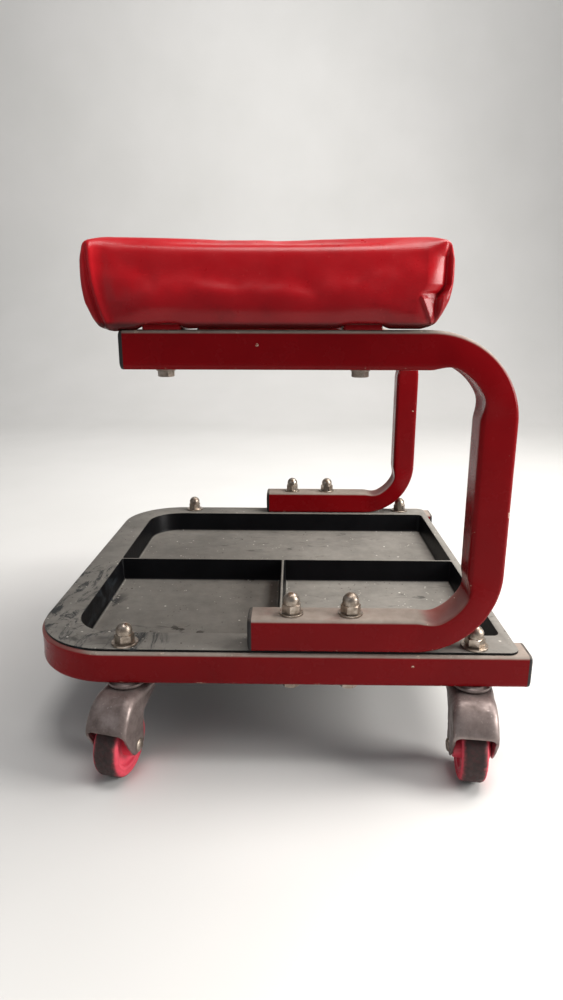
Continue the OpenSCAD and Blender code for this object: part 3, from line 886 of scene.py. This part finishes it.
def caster_values(corner):
    """Places of one caster's swivel axis and axle, and the way it trails."""
    pivot = Vector(JOINTS["swivel_" + corner]["pos_m"])
    hub = Vector(JOINTS["roll_" + corner]["pos_m"])
    back = Vector((hub.x - pivot.x, hub.y - pivot.y, 0))
    return pivot, hub, back


def caster_place(corner):
    """Matrix from a caster's own axes (x the way it trails, z up from the floor) to the seat's."""
    pivot, _, back = caster_values(corner)
    turn = Matrix.Rotation(math.atan2(back.y, back.x), 4, "Z")
    return Matrix.Translation((pivot.x, pivot.y, 0)) @ turn


def axle_place(corner):
    """Matrix from a wheel's own axes (z along the axle) to the seat's."""
    _, hub, back = caster_values(corner)
    turn = Matrix.Rotation(math.atan2(back.y, back.x), 4, "Z")
    return Matrix.Translation(hub) @ turn @ Matrix.Rotation(math.radians(-90), 4, "X")


def hoop(half, corner, start, reach, side_steps=9, corner_steps=6, top_steps=8):
    """One strip bent over the wheel: (across, down) points from its left foot over the top to the right."""
    points = [(-half, reach + (start + corner - reach) * i / side_steps) for i in range(side_steps)]
    for i in range(corner_steps + 1):
        angle = math.radians(90 * i / corner_steps)
        across = half - corner + corner * math.cos(angle)
        points.append((-across, start + corner * (1 - math.sin(angle))))
    mirrored = [(-across, down) for across, down in reversed(points)]
    flat = 2 * (half - corner)
    points += [(flat * (i / top_steps - 0.5), start) for i in range(1, top_steps)]
    return points + mirrored


def leg_flare(x, z, top):
    """How far a fork's side stands out, in mm: a swell under the cap, and a weaker one further down."""
    under_cap = 1.1 * math.exp(-((z - top + 5) / 5.5) ** 2) * clamp((12 - x) / 14)
    lower = 0.7 * math.exp(-((z - 47) / 8) ** 2) * clamp((24 - x) / 14)
    return abs(under_cap - lower)


def fork_mesh():
    """Pressed fork: a rounded cap, two legs with pointed tips, and a hood over the wheel.

    Its outlines are (x, z) points in mm, x the way it trails and z up from the floor."""
    axle_z = JOINTS["roll_" + CORNERS[0]]["pos_m"][2] / MM
    top = high("fork_" + CORNERS[0]).z / MM
    corner = FORK_CORNER / MM
    steel = FORK_STEEL / MM
    half, cap_r, nose = 16.3, 17.4, 14.0
    hood = [(16.4, top), (22.0, top - 1.2), (28.0, top - 4.6), (33.2, top - 9.8), (37.2, top - 15.6),
            (39.3, top - 20.3)]
    # each span: points along the crown, points along the lower edge, and how many strips lie between
    spans = (
        ([(-nose, top), (3.0, top)], [(-12.6, top - 8.5), (-7.0, 54.0), (2.0, 51.0), (8.4, 48.6)], 9),
        ([(3.0, top), (11.0, top)], [(8.4, 48.6), (10.2, 41.0), (9.2, 31.0), (8.8, axle_z)], 9),
        ([(11.0, top), (16.4, top)],
         [(8.8, axle_z), (10.0, 21.6), (13.4, 19.4), (18.6, 18.8), (23.2, 19.2)], 7),
        (hood[:3], [(23.2, 19.2), (27.4, 24.2), (30.6, 29.2)], 6),
        (hood[2:], [(30.6, 29.2), (35.6, 38.8)], 7))
    rows = [(along(crown, i / count), along(foot, i / count))
            for crown, foot, count in spans for i in range(count)]
    rows.append((hood[-1], spans[-1][1][-1]))
    verts = []
    for inset in (0.0, steel):
        for crown, foot in rows:
            depth = Vector((foot[0] - crown[0], foot[1] - crown[1]))
            ahead = depth.normalized()
            for across, down in hoop(half - inset, corner - inset, inset, depth.length):
                x, z = crown[0] + ahead.x * down, crown[1] + ahead.y * down
                if x < 0:
                    round_cap = math.sqrt(cap_r ** 2 - min(abs(across), cap_r - corner) ** 2) / nose
                    x *= round_cap if z > top - corner else (round_cap + 1) / 2
                if abs(across) > half - corner:
                    across += math.copysign(leg_flare(x, z, top), across)
                verts.append((x * MM, across * MM, z * MM))
    count = len(verts) // (2 * len(rows))
    shell = count * len(rows)
    faces = []
    for r in range(len(rows) - 1):
        for i in range(count - 1):
            quad = (r * count + i, r * count + i + 1, (r + 1) * count + i + 1, (r + 1) * count + i)
            faces.append(quad)
            faces.append(tuple(shell + k for k in reversed(quad)))
    last = (len(rows) - 1) * count
    rim = [(i, i + 1) for i in range(count - 1)] + [(last + i + 1, last + i) for i in range(count - 1)]
    for r in range(len(rows) - 1):
        rim += [((r + 1) * count, r * count), (r * count + count - 1, (r + 1) * count + count - 1)]
    faces += [(b, a, shell + a, shell + b) for a, b in rim]
    piece = add_object("fork_sheet", mesh_from("fork", verts, faces))
    turn_outwards(piece.data)
    soft = piece.modifiers.new("drawn", "SUBSURF")
    soft.levels = soft.render_levels = 1
    baked(piece)
    mesh = piece.data.copy()
    bpy.data.objects.remove(piece)
    smooth(mesh, 60)
    return mesh


def race_cup_mesh():
    """Bearing cup: a flat washer on the rail, a rolled wall, and its open underside."""
    lo, hi = solids("caster_race_cups")[0]
    radius, height = (hi.x - lo.x) / 2, hi.z - lo.z
    roll, rim, shoulder = 1.6 * MM, 0.9 * MM, radius - 3.2 * MM
    profile = [(0, height), (shoulder, height)]
    profile += arc((shoulder, height - rim), rim, 90, 20, 4)
    profile += [(radius - 1.7 * MM, height - 1.4 * MM)]
    profile += arc((radius - roll, roll), roll, 40, -90, 8)
    profile += [(radius - 3 * MM, 0.2 * MM), (0, 0.2 * MM)]
    mesh = lathe("race_cup", profile, 56)
    smooth(mesh, 40)
    return mesh


def mirrored_profile(side):
    """A whole lathe profile from its half above z = 0."""
    return side + [(r, -z) for r, z in reversed(side)]


def rivet_mesh():
    """Axle: a pin with a round head at each end."""
    head, pin, half, seat = 5.1 * MM, 3.1 * MM, 17.8 * MM, 16.35 * MM
    side = [(0, half + 0.4 * MM), (head * 0.35, half + 0.3 * MM), (head * 0.65, half),
            (head * 0.88, half - 0.6 * MM), (head, half - 1.1 * MM), (head, seat), (pin, seat)]
    mesh = lathe("rivet", mirrored_profile(side), 40)
    smooth(mesh, 50)
    return mesh


WHEEL_R = 25 * MM
TREAD_HALF = 9.5 * MM
CORE_R = 19 * MM
HUB_HALF = 13.4 * MM
BUSH_R = 4.7 * MM
HUB_R = 8.7 * MM
BORE_R = 3.2 * MM


def with_attributes(mesh):
    """Adds how far across and how far out each point of a wheel is, both up to 1."""
    co = coordinates(mesh)
    set_attribute(mesh, "across", co[:, 2] / TREAD_HALF)
    set_attribute(mesh, "radial", np.hypot(co[:, 0], co[:, 1]) / WHEEL_R)
    return mesh


def tread_mesh():
    half = TREAD_HALF
    side = [(CORE_R + 0.03 * MM, 1 * MM - half), (CORE_R + 2 * MM, 0.15 * MM - half),
            (WHEEL_R - 3.2 * MM, -half), (WHEEL_R - 1.9 * MM, 0.45 * MM - half),
            (WHEEL_R - 0.75 * MM, 1.5 * MM - half), (WHEEL_R - 0.15 * MM, 2.9 * MM - half)]
    flat, steps = half - 3.6 * MM, 9
    middle = [(WHEEL_R, (-1 + 2 * i / steps) * flat) for i in range(steps + 1)]
    mesh = lathe("tread", side + middle + [(r, -z) for r, z in reversed(side)], 128)
    smooth(mesh, 50)
    return with_attributes(mesh)


def hub_mesh():
    web = TREAD_HALF - 1 * MM
    side = [(BUSH_R + 0.05 * MM, HUB_HALF), (HUB_R - 0.6 * MM, HUB_HALF), (HUB_R, HUB_HALF - 0.6 * MM),
            (HUB_R + 0.4 * MM, web - 2.0 * MM), (HUB_R + 1.4 * MM, web - 2.6 * MM),
            (CORE_R - 4 * MM, web - 2.6 * MM), (CORE_R - 2.8 * MM, web - 1.8 * MM),
            (CORE_R - 2.2 * MM, web - 0.3 * MM), (CORE_R - 1.6 * MM, web), (CORE_R, web)]
    mesh = lathe("hub", mirrored_profile(side), 96)
    smooth(mesh, 40)
    return with_attributes(mesh)


def bush_mesh():
    soft = 0.35 * MM
    side = [(BORE_R, HUB_HALF), (BUSH_R - soft, HUB_HALF), (BUSH_R, HUB_HALF - soft)]
    mesh = lathe("bush", mirrored_profile(side), 48)
    smooth(mesh, 40)
    return mesh


# ---------------------------------------------------------------- cushion


# Height up the cushion from 0 to 1, and how far its ends and its sides stand in there, in mm
CUSHION_PROFILE = ((0.0, 12.0, 2.4), (0.06, 9.6, 1.6), (0.14, 6.8, 1.0), (0.24, 4.2, 0.6),
                   (0.38, 1.8, 0.2), (0.55, 0.4, 0.0), (0.66, 0.1, 0.5), (0.74, 0.0, 1.1),
                   (0.82, 0.3, 2.0), (0.88, 0.7, 3.0), (0.94, 1.3, 4.3), (1.0, 2.6, 6.0))
# Height, and how far the folded edge stands in from the end there, in mm
FRONT_FOLD = ((0.0, 14.5), (0.15, 11.4), (0.33, 8.6), (0.5, 6.6), (0.75, 5.0), (1.0, 4.4))
REAR_FOLD = ((0.0, 12.8), (0.15, 11.6), (0.30, 10.9), (0.34, 10.2), (0.40, 7.0), (0.47, 4.9),
             (0.75, 4.4), (1.0, 4.2))
COVER_WRAP = 22 * MM    # width of the cover's band under the board
SLACK = 1.8 * MM        # how much smaller the blank is than the stuffed cover
SIT_HOLLOW = 0.9 * MM   # how far the top sinks where it is sat on
PUCKER = 0.6 * MM       # depth of the pulls between the staples
PUCKER_X = 43 * MM      # and their spacing along the sides and along the ends
PUCKER_Y = 47 * MM
RIM_PUSH = 3.0 * MM     # how far the board keeps the foot of the sides out
HELD_BAND = 4 * MM      # height of the cover's foot that stays put while it is stuffed
STUFF_FRAMES = 20
MOST_SWELL = 3.0 * MM   # the furthest that stuffing moves the cover
EAR_REACH = 13 * MM
CORNER_REACHES = (40 * MM, 34 * MM)    # how far from the ends the corners' mesh is split, each time


def unit(values):
    """Values held between 0 and 1."""
    return np.clip(values, 0, 1)


def hump(distance, width):
    """1 at no distance, and close to 0 past twice the width."""
    return np.exp(-(distance / width) ** 2)


def shift(x=0.0, y=0.0, z=0.0):
    """How far each point moves along the axes."""
    return np.stack(np.broadcast_arrays(x, y, z), axis=1)


def column(table, index, height):
    return np.interp(height, [row[0] for row in table], [row[index] for row in table]) * MM


def cushion_blank():
    """Slightly small start for the stuffed cover, with the same leaning sides."""
    lo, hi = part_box("seat_cover")
    lift, corner = 0.4 * MM, 5 * MM
    rows = []
    for h in np.linspace(0, 1, 15):
        end, side = column(CUSHION_PROFILE, 1, h) + SLACK, column(CUSHION_PROFILE, 2, h) + SLACK
        z = lo.z + lift + h * (hi.z - lo.z - SLACK - lift)
        outline = plan_outline(lo.x + end, hi.x - end, hi.y - side, corner, corner, 6)
        rows.append([(x, y, z) for x, y in outline])
    count = len(rows[0])
    faces = [tuple(reversed(range(count))), tuple(range((len(rows) - 1) * count, len(rows) * count))]
    for r in range(len(rows) - 1):
        first, above = r * count, (r + 1) * count
        for i in range(count):
            j = (i + 1) % count
            faces.append((first + i, first + j, above + j, above + i))
    mesh = mesh_from("cushion", [point for row in rows for point in row], faces)
    turn_outwards(mesh)
    piece = add_object("cushion", mesh, VINYL)
    remesh = piece.modifiers.new("even", "REMESH")
    remesh.mode = "VOXEL"
    remesh.voxel_size = 4 * MM
    remesh.use_smooth_shade = True
    return baked(piece)


def stuff(piece):
    """Fills the blank: a cloth that is held under the seat and pressed out from inside."""
    rest = coordinates(piece.data)
    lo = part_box("seat_cover")[0]
    held = piece.vertex_groups.new(name="held")
    held.add([i for i, c in enumerate(rest) if c[2] < lo.z + HELD_BAND], 1.0, "REPLACE")
    cloth = piece.modifiers.new("stuffed", "CLOTH")
    settings = cloth.settings
    settings.quality = 6
    settings.mass = 0.35
    settings.tension_stiffness = 28
    settings.compression_stiffness = 20
    settings.shear_stiffness = 12
    settings.bending_stiffness = 1.5
    settings.use_pressure = True
    settings.uniform_pressure_force = 3.6
    settings.effector_weights.gravity = 0
    settings.vertex_group_mass = "held"
    cloth.collision_settings.use_collision = False
    cloth.point_cache.frame_start = 1
    cloth.point_cache.frame_end = STUFF_FRAMES
    scene = bpy.context.scene
    scene.frame_start, scene.frame_end = 1, STUFF_FRAMES
    for number in range(1, STUFF_FRAMES + 1):
        scene.frame_set(number)
    graph = bpy.context.evaluated_depsgraph_get()
    result = bpy.data.meshes.new_from_object(piece.evaluated_get(graph))
    move = coordinates(result) - rest
    reach = np.linalg.norm(move, axis=1, keepdims=True)
    move *= np.minimum(1.0, MOST_SWELL / np.maximum(reach, 1e-9))
    piece.modifiers.clear()
    set_coordinates(piece.data, rest + move)
    bpy.data.meshes.remove(result)
    scene.frame_set(1)


def refine(piece):
    """Splits every face once, brings the pad to its size, and splits its four folded corners twice more."""
    sub = piece.modifiers.new("fine", "SUBSURF")
    sub.levels = sub.render_levels = 1
    baked(piece)
    lo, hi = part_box("seat_cover")
    co = coordinates(piece.data)
    least, most = co.min(axis=0), co.max(axis=0)
    start = np.array(lo) - np.array((2.4, 0.5, 0)) * MM
    size = np.array(hi) - np.array(lo) + np.array((4.4, 1.0, 3.2)) * MM
    set_coordinates(piece.data, start + (co - least) * size / (most - least))
    work = bmesh.new()
    work.from_mesh(piece.data)
    for reach in CORNER_REACHES:
        edges = set()
        for face in work.faces:
            c = face.calc_center_median()
            near_x = min(c.x - lo.x, hi.x - c.x)
            near_y = hi.y - abs(c.y)
            if near_x < reach and near_y < 20 * MM:
                edges.update(face.edges)
        bmesh.ops.subdivide_edges(work, edges=list(edges), cuts=1, use_grid_fill=True)
    work.to_mesh(piece.data)
    work.free()


class PadPlace:
    """Where each point of the cushion is, from its middle (u, v), up it (h), and in from its rim."""

    def __init__(self, co):
        lo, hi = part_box("seat_cover")
        middle = (lo + hi) / 2
        self.x, self.y, self.z = co.T
        self.u = (self.x - middle.x) / (hi.x - middle.x)
        self.v = self.y / hi.y
        self.h = unit((self.z - lo.z) / (hi.z - lo.z))
        self.off_middle = np.abs(self.y)
        self.from_end = np.minimum(self.x - lo.x, hi.x - self.x)
        self.from_side = hi.y - self.off_middle
        self.at_side = unit(np.abs(self.v) * 12 - 11)


def worn_hollow(at):
    bowl = unit(1 - at.u ** 2) * (0.75 + 0.25 * unit(1 - at.v ** 2))
    return shift(z=-SIT_HOLLOW * bowl * unit((at.h - 0.6) / 0.4))


def staple_pulls(at):
    """Puckers at the foot of the sides and ends."""
    rim = unit(np.maximum(np.abs(at.u), np.abs(at.v)) * 6 - 5) * (1 - at.h) ** 2
    wave = np.sin(at.x * 2 * math.pi / PUCKER_X) * np.sin(at.y * 2 * math.pi / PUCKER_Y + 0.7)
    on_side = np.abs(at.v) > np.abs(at.u)
    pull = PUCKER * wave * rim
    return shift(x=-np.sign(at.u) * pull * ~on_side, y=-np.sign(at.v) * pull * on_side)


def firm_sides(at):
    """The board inside keeps the rim square, and the cover is drawn lengthways over the foam in bands."""
    rim = RIM_PUSH * hump(at.h, 0.26) * at.at_side
    band = np.sin(at.h * 9 + 1.3 * np.sin(at.u * 2.1)) * unit(np.abs(at.v) * 8 - 7)
    return shift(y=np.sign(at.v) * (rim + 0.12 * MM * band * unit(4 * at.h * (1 - at.h))))


def corner_ears(at):
    """The top's corners stand up in small ears."""
    ear = MM * hump(at.from_end, EAR_REACH) * hump(at.from_side, EAR_REACH) * unit((at.h - 0.72) / 0.28)
    return shift(np.sign(at.u) * 1.6 * ear, np.sign(at.v) * 2.2 * ear, 1.9 * ear)


def hanging_rim(at):
    """The rim hangs a little: most at the front corners, and between the straps."""
    drop = 6.4 * unit(-at.u * 2.2 - 1.2) + 0.3 * unit(at.u * 4 - 2.8)
    sag = np.where(at.off_middle > 192 * MM, 1.7, 3.1)
    sag = sag * unit((at.off_middle - 186.5 * MM) / (2.5 * MM)) * unit(8 - np.abs(at.u) * 8.4)
    for node in ("seat_strap_front", "seat_strap_rear"):
        middle = (low(node).x + high(node).x) / 2
        sag *= 1 - np.exp(-((at.x - middle) / (14 * MM)) ** 6)
    return shift(z=-MM * (drop * at.at_side * (1 - at.h) ** 2 + sag * (1 - at.h) ** 3))


def open_underside(at):
    """Underneath, the cover stops at the band that is stapled to the board."""
    foot = low("seat_cover").z
    lo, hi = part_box("seat_board")
    inside = np.minimum(np.minimum(at.x - lo.x, hi.x - at.x), hi.y - at.off_middle) - COVER_WRAP
    recess = (hi.z - foot + 2 * MM) * unit(inside / (2.5 * MM))
    return shift(z=recess * (at.z < foot + 3 * MM))


def drape(co):
    """Moves the stuffed cover's points: worn, pulled, firm at the rim, and hanging where it is free."""
    at = PadPlace(co)
    steps = (worn_hollow, staple_pulls, firm_sides, corner_ears, hanging_rim, open_underside)
    return co + sum(step(at) for step in steps)


def fold_corner(co, sx, sy):
    """Cover folded at one corner: the side's vinyl laps over the end's, with a small tuck at the rear."""
    lo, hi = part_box("seat_cover")
    near_x = ((hi.x if sx > 0 else lo.x) - co[:, 0]) * sx
    near_y = hi.y - co[:, 1] * sy
    h = unit((co[:, 2] - lo.z) / (hi.z - lo.z))
    d = near_x - column(REAR_FOLD if sx > 0 else FRONT_FOLD, 1, h)
    on_side = unit((17 * MM - near_y) / (5 * MM))
    fade = unit((1 - h) / 0.12)
    crease = -2.6 * MM * hump(d + 0.9 * MM, 1.5 * MM) - 1.3 * MM * unit(-d / (3 * MM))
    if sx < 0:
        roll = 1.1 * MM * hump(d - 2.0 * MM, 2.2 * MM)
        valley = -0.8 * MM * hump(d - 8.5 * MM, 4.5 * MM)
        return co + shift(y=sy * (crease + roll + valley) * on_side * fade)
    # the rear corner is drawn well round, above a triangular tuck that runs down to the corner's foot
    drawn = np.interp(h, (0.0, 0.30, 0.36, 0.80, 1.0), (0.35, 0.45, 1.0, 1.0, 0.0))
    lean = -6.2 * MM * drawn * unit((13 * MM - d) / (13 * MM)) ** 1.5
    lean *= 1 - 0.86 * unit(-d / (3.6 * MM))
    wide = unit((34 * MM - near_y) / (22 * MM))
    round_off = lean * wide + 0.5 * crease * on_side * fade
    edge = near_x - (14.2 + 23 * h) * MM
    low_part = unit((0.34 - h) / 0.03)
    within = unit(-edge / (0.9 * MM)) * unit((d + 1.4 * MM) / (1.2 * MM))
    proud = (1.7 * MM + 0.36 * np.clip(edge, -7 * MM, 0)) * within
    groove = -0.15 * MM * hump(edge - 0.8 * MM, 1.8 * MM)
    ledge = -0.6 * MM * hump(h - 0.37, 0.02) * unit((23 * MM - near_x) / (5 * MM))
    tuck = ((proud + groove) * low_part + ledge * (d > -0.5 * MM)) * on_side
    return co + shift(y=sy * (round_off + tuck))


def cushion():
    piece = cushion_blank()
    stuff(piece)
    refine(piece)
    co = drape(coordinates(piece.data))
    for sx in (-1, 1):
        for sy in (-1, 1):
            co = fold_corner(co, sx, sy)
    set_coordinates(piece.data, co)
    piece.data.materials.clear()
    piece.data.materials.append(VINYL)
    piece.data.shade_smooth()
    return piece


# ---------------------------------------------------------------- the seat, piece by piece


def solids(node):
    """(lowest, highest corner) of each separate solid in a CAD node, ordered by place."""
    work = bmesh.new()
    work.from_mesh(frame["nodes"][node].data)
    bmesh.ops.remove_doubles(work, verts=work.verts, dist=1e-6)
    found, seen = [], set()
    for start in work.verts:
        if start in seen:
            continue
        island, stack = [], [start]
        seen.add(start)
        while stack:
            vert = stack.pop()
            island.append(vert.co)
            for edge in vert.link_edges:
                other = edge.other_vert(vert)
                if other not in seen:
                    seen.add(other)
                    stack.append(other)
        found.append((Vector(min(c[i] for c in island) for i in range(3)),
                      Vector(max(c[i] for c in island) for i in range(3))))
    work.free()
    return sorted(found, key=lambda box: tuple(round(value, 4) for value in box[0]))


def feet(node):
    """Middle of the underside of each solid in a CAD node."""
    return [Vector(((lo.x + hi.x) / 2, (lo.y + hi.y) / 2, lo.z)) for lo, hi in solids(node)]


HALF_WAY_UP = (DECK + high("side_frame_left").z) / 2
LOWER_ARM_X = min(hi.x for lo, hi in solids("side_frame_end_caps") if hi.z < HALF_WAY_UP) - PLUG_DEPTH

# places of the wear, each in the seat's own axes, and how far it reaches
TRAY_RUBS = (((-0.168, -0.150, 0.0984), 62 * MM), ((-0.176, -0.060, 0.0984), 48 * MM),
             ((-0.120, -0.185, 0.0984), 48 * MM))
TRAY_SMEAR = (-0.085, -0.140, 0.0760)
SMEAR_R = 42 * MM
PAINT_CHIPS = ((-0.0102, -0.1955, 0.3170), (0.1022, -0.1955, 0.0878), (0.1581, 0.1701, 0.2272))
CHIP_R = 1.15 * MM
# heights over the cover's foot between which its painted shade fades out upwards, and between which the
# near-black painted shade of its turned-under edge fades
LOWER_SHADE = (5.8 * MM, 47.8 * MM)
FOOT_SHADE = (-1.0 * MM, 2.0 * MM)

PAINT = red_enamel()
VINYL = red_vinyl()
TRAY = tray_plastic()
CAP = black_cap()
BRIGHT = bright_zinc()
DULL = dull_zinc()
TREAD = wheel_tread()
HUB = wheel_hub()
WOOD = plywood()
FLOOR = pale_floor()

# the bent tubes
tube = tube_mesh("base", base_corners(), BASE_BEND - TUBE / 2, Vector((0, 0, 1)))
finished(add_object("visual_base_frame", tube, PAINT), "frame", "red_paint", "base_frame")
for side in SIDES:
    tube = tube_mesh("side", side_frame_corners(side), FRAME_BEND - TUBE / 2, Vector((0, 1, 0)))
    piece = add_object("visual_side_frame_" + side, tube, PAINT)
    finished(piece, "frame", "red_paint", "side_frame_" + side)
for node in ("seat_strap_front", "seat_strap_rear"):
    finished(strap(node), "frame", "red_paint", node)

# the plugs in the tubes' ends
for name, direction in (("base_end_caps", Vector((1, 0, 0))), ("side_frame_end_caps", Vector((-1, 0, 0)))):
    caps = []
    for lo, hi in solids(name):
        middle = (lo + hi) / 2
        middle.x = hi.x - CAP_PROUD if direction.x > 0 else lo.x + CAP_PROUD
        caps.append(end_cap_mesh(middle, direction))
    piece = add_object("visual_" + name, joined_mesh(name, caps), CAP)
    smooth(piece.data, 50)
    finished(piece, "frame", "black_plastic", name)

finished(tool_tray(), "frame", "tray_plastic", "tool_tray")

# fasteners
NUT_FLATS = 13 * MM
NUT_HEIGHT = 15 * MM
NUT_HEX = 6.5 * MM
for name in ("frame_acorn_nuts", "caster_acorn_nuts"):
    nuts = copies("visual_" + name, acorn_nut(NUT_FLATS, NUT_HEIGHT, NUT_HEX), feet(name), BRIGHT,
                  turn=math.radians(60), seed=len(name))
    finished(nuts, "frame", "bright_zinc", name)
WASHER_BORES = {"frame_bolt_washers": 4.3 * MM, "caster_stem_washers": 4.3 * MM,
                "seat_bolt_washers": 3.3 * MM}
for name, bore in WASHER_BORES.items():
    lo, hi = solids(name)[0]
    part = washer_mesh((hi.x - lo.x) / 2, bore, hi.z - lo.z)
    smooth(part, 40)
    finished(copies("visual_" + name, part, feet(name), BRIGHT), "frame", "bright_zinc", name)
BOLTS = {"frame_bolts": (13 * MM, 5.3 * MM, 4 * MM), "seat_bolts": (10 * MM, 4 * MM, 3 * MM)}
for name, (flats, head, shank) in BOLTS.items():
    lo, hi = solids(name)[0]
    spots = [foot + Vector((0, 0, head)) for foot in feet(name)]
    part = bolt_mesh(flats, head, shank, hi.z - lo.z - head)
    bolts = copies("visual_" + name, part, spots, BRIGHT, turn=math.radians(60), seed=3)
    finished(bolts, "frame", "bright_zinc", name)
ball_boxes = solids("caster_balls")
ball = bpy.data.meshes.new("ball")
work = bmesh.new()
bmesh.ops.create_icosphere(work, subdivisions=3, radius=(ball_boxes[0][1].x - ball_boxes[0][0].x) / 2)
work.to_mesh(ball)
work.free()
ball.shade_smooth()
balls = copies("visual_caster_balls", ball, [(lo + hi) / 2 for lo, hi in ball_boxes], BRIGHT)
finished(balls, "frame", "bright_zinc", "caster_balls")

# casters
cups = [moved(race_cup_mesh(), Matrix.Translation(foot)) for foot in feet("caster_race_cups")]
cup = add_object("visual_race_cups", joined_mesh("race_cups", cups), DULL)
smooth(cup.data, 40)
finished(cup, "frame", "dull_zinc", "caster_race_cups")
fork_shape, axle_shape = fork_mesh(), rivet_mesh()
tread_shape, hub_shape, bush_shape = tread_mesh(), hub_mesh(), bush_mesh()
for corner in CORNERS:
    body, wheel = "caster_" + corner, "wheel_" + corner
    parts = (("fork", fork_shape, caster_place(corner), DULL, body, "dull_zinc"),
             ("axle", axle_shape, axle_place(corner), BRIGHT, body, "bright_zinc"),
             ("tread", tread_shape, axle_place(corner), TREAD, wheel, "wheel_tread"),
             ("hub", hub_shape, axle_place(corner), HUB, wheel, "wheel_hub"),
             ("bush", bush_shape, axle_place(corner), BRIGHT, wheel, "bright_zinc"))
    for kind, shape, place, finish, rides_on, slot in parts:
        node = kind + "_" + corner
        finished(add_object("visual_" + node, moved(shape, place), finish), rides_on, slot, node)

# the padded seat
pad = cushion()
finished(pad, "frame", "red_vinyl", "seat_cover", "seat_foam")

# CAD solids that stay as they are, with their finishes
KEPT_SOLIDS = {"seat_board": WOOD, "cover_staples": BRIGHT, "seat_tee_nuts": BRIGHT, "caster_stems": BRIGHT}
for node, finish in KEPT_SOLIDS.items():
    mesh = frame["nodes"][node].data
    mesh.materials.clear()
    mesh.materials.append(finish)


# ---------------------------------------------------------------- floor, light and camera


def studio():
    """Pale sweep of floor and wall, a soft key from the right and behind, and weak fills."""
    rear, radius, reach = 1.5, 0.8, 5.0
    section = [(-3.0, 0.0), (rear, 0.0)]
    section += [(rear + radius * math.sin(t), radius - radius * math.cos(t))
                for t in np.linspace(0.1, math.pi / 2, 14)]
    section += [(rear + radius, reach)]
    verts = [(x, y, z) for y, z in section for x in (-reach, reach)]
    faces = [(2 * i, 2 * i + 1, 2 * i + 3, 2 * i + 2) for i in range(len(section) - 1)]
    floor = add_object("floor", mesh_from("floor", verts, faces), FLOOR)
    floor.data.shade_smooth()
    world = bpy.data.worlds.new("studio")
    world.use_nodes = True
    sky = world.node_tree.nodes["Background"]
    sky.inputs["Color"].default_value = (0.86, 0.88, 0.92, 1)
    sky.inputs["Strength"].default_value = 0.24
    bpy.context.scene.world = world
    for name, place, aim, size, watts, tint in (
            ("key", (0.75, 0.25, 1.5), (0, 0, 0.2), 0.8, 28, (1.0, 0.97, 0.93)),
            ("window", (1.25, -0.35, 0.62), (0, 0, 0.2), 0.6, 22, (1.0, 0.98, 0.95)),
            ("overhead", (0.1, -0.26, 1.95), (0, 0, 0.3), 0.8, 20, (1.0, 0.98, 0.96)),
            ("backdrop", (0, 0.9, 1.7), (0, 2.3, 0.8), 1.2, 16, (1.0, 0.99, 0.97)),
            ("fill", (-1.3, -1.2, 1.0), (0, 0, 0.2), 1.4, 3, (0.94, 0.97, 1.0))):
        light = bpy.data.lights.new(name, "AREA")
        light.energy = watts
        light.size = size
        light.color = tint
        lamp = bpy.data.objects.new(name, light)
        lamp.location = place
        lamp.rotation_euler = (Vector(aim) - Vector(place)).to_track_quat("-Z", "Y").to_euler()
        bpy.context.scene.collection.objects.link(lamp)


def camera():
    """Low, close view of the left side, looking slightly down and to the front."""
    yaw, pitch, roll = math.radians(-0.997), math.radians(15.13), math.radians(0.109)
    ahead = Vector((math.sin(yaw) * math.cos(pitch), math.cos(yaw) * math.cos(pitch), -math.sin(pitch)))
    right = Vector((math.cos(yaw), -math.sin(yaw), 0))
    up = right.cross(ahead)
    right, up = right * math.cos(roll) + up * math.sin(roll), up * math.cos(roll) - right * math.sin(roll)
    eye = bpy.data.cameras.new("camera")
    eye.sensor_width = 36
    eye.sensor_fit = "AUTO"
    eye.lens = 23.84
    eye.clip_start = 0.01
    seen = bpy.data.objects.new("camera", eye)
    aim = Matrix((right, up, -ahead)).transposed().to_4x4()
    seen.matrix_world = Matrix.Translation((0.0134, -0.6330, 0.3320)) @ aim
    bpy.context.scene.collection.objects.link(seen)
    bpy.context.scene.camera = seen


studio()
camera()
bpy.context.scene.view_settings.view_transform = "Standard"
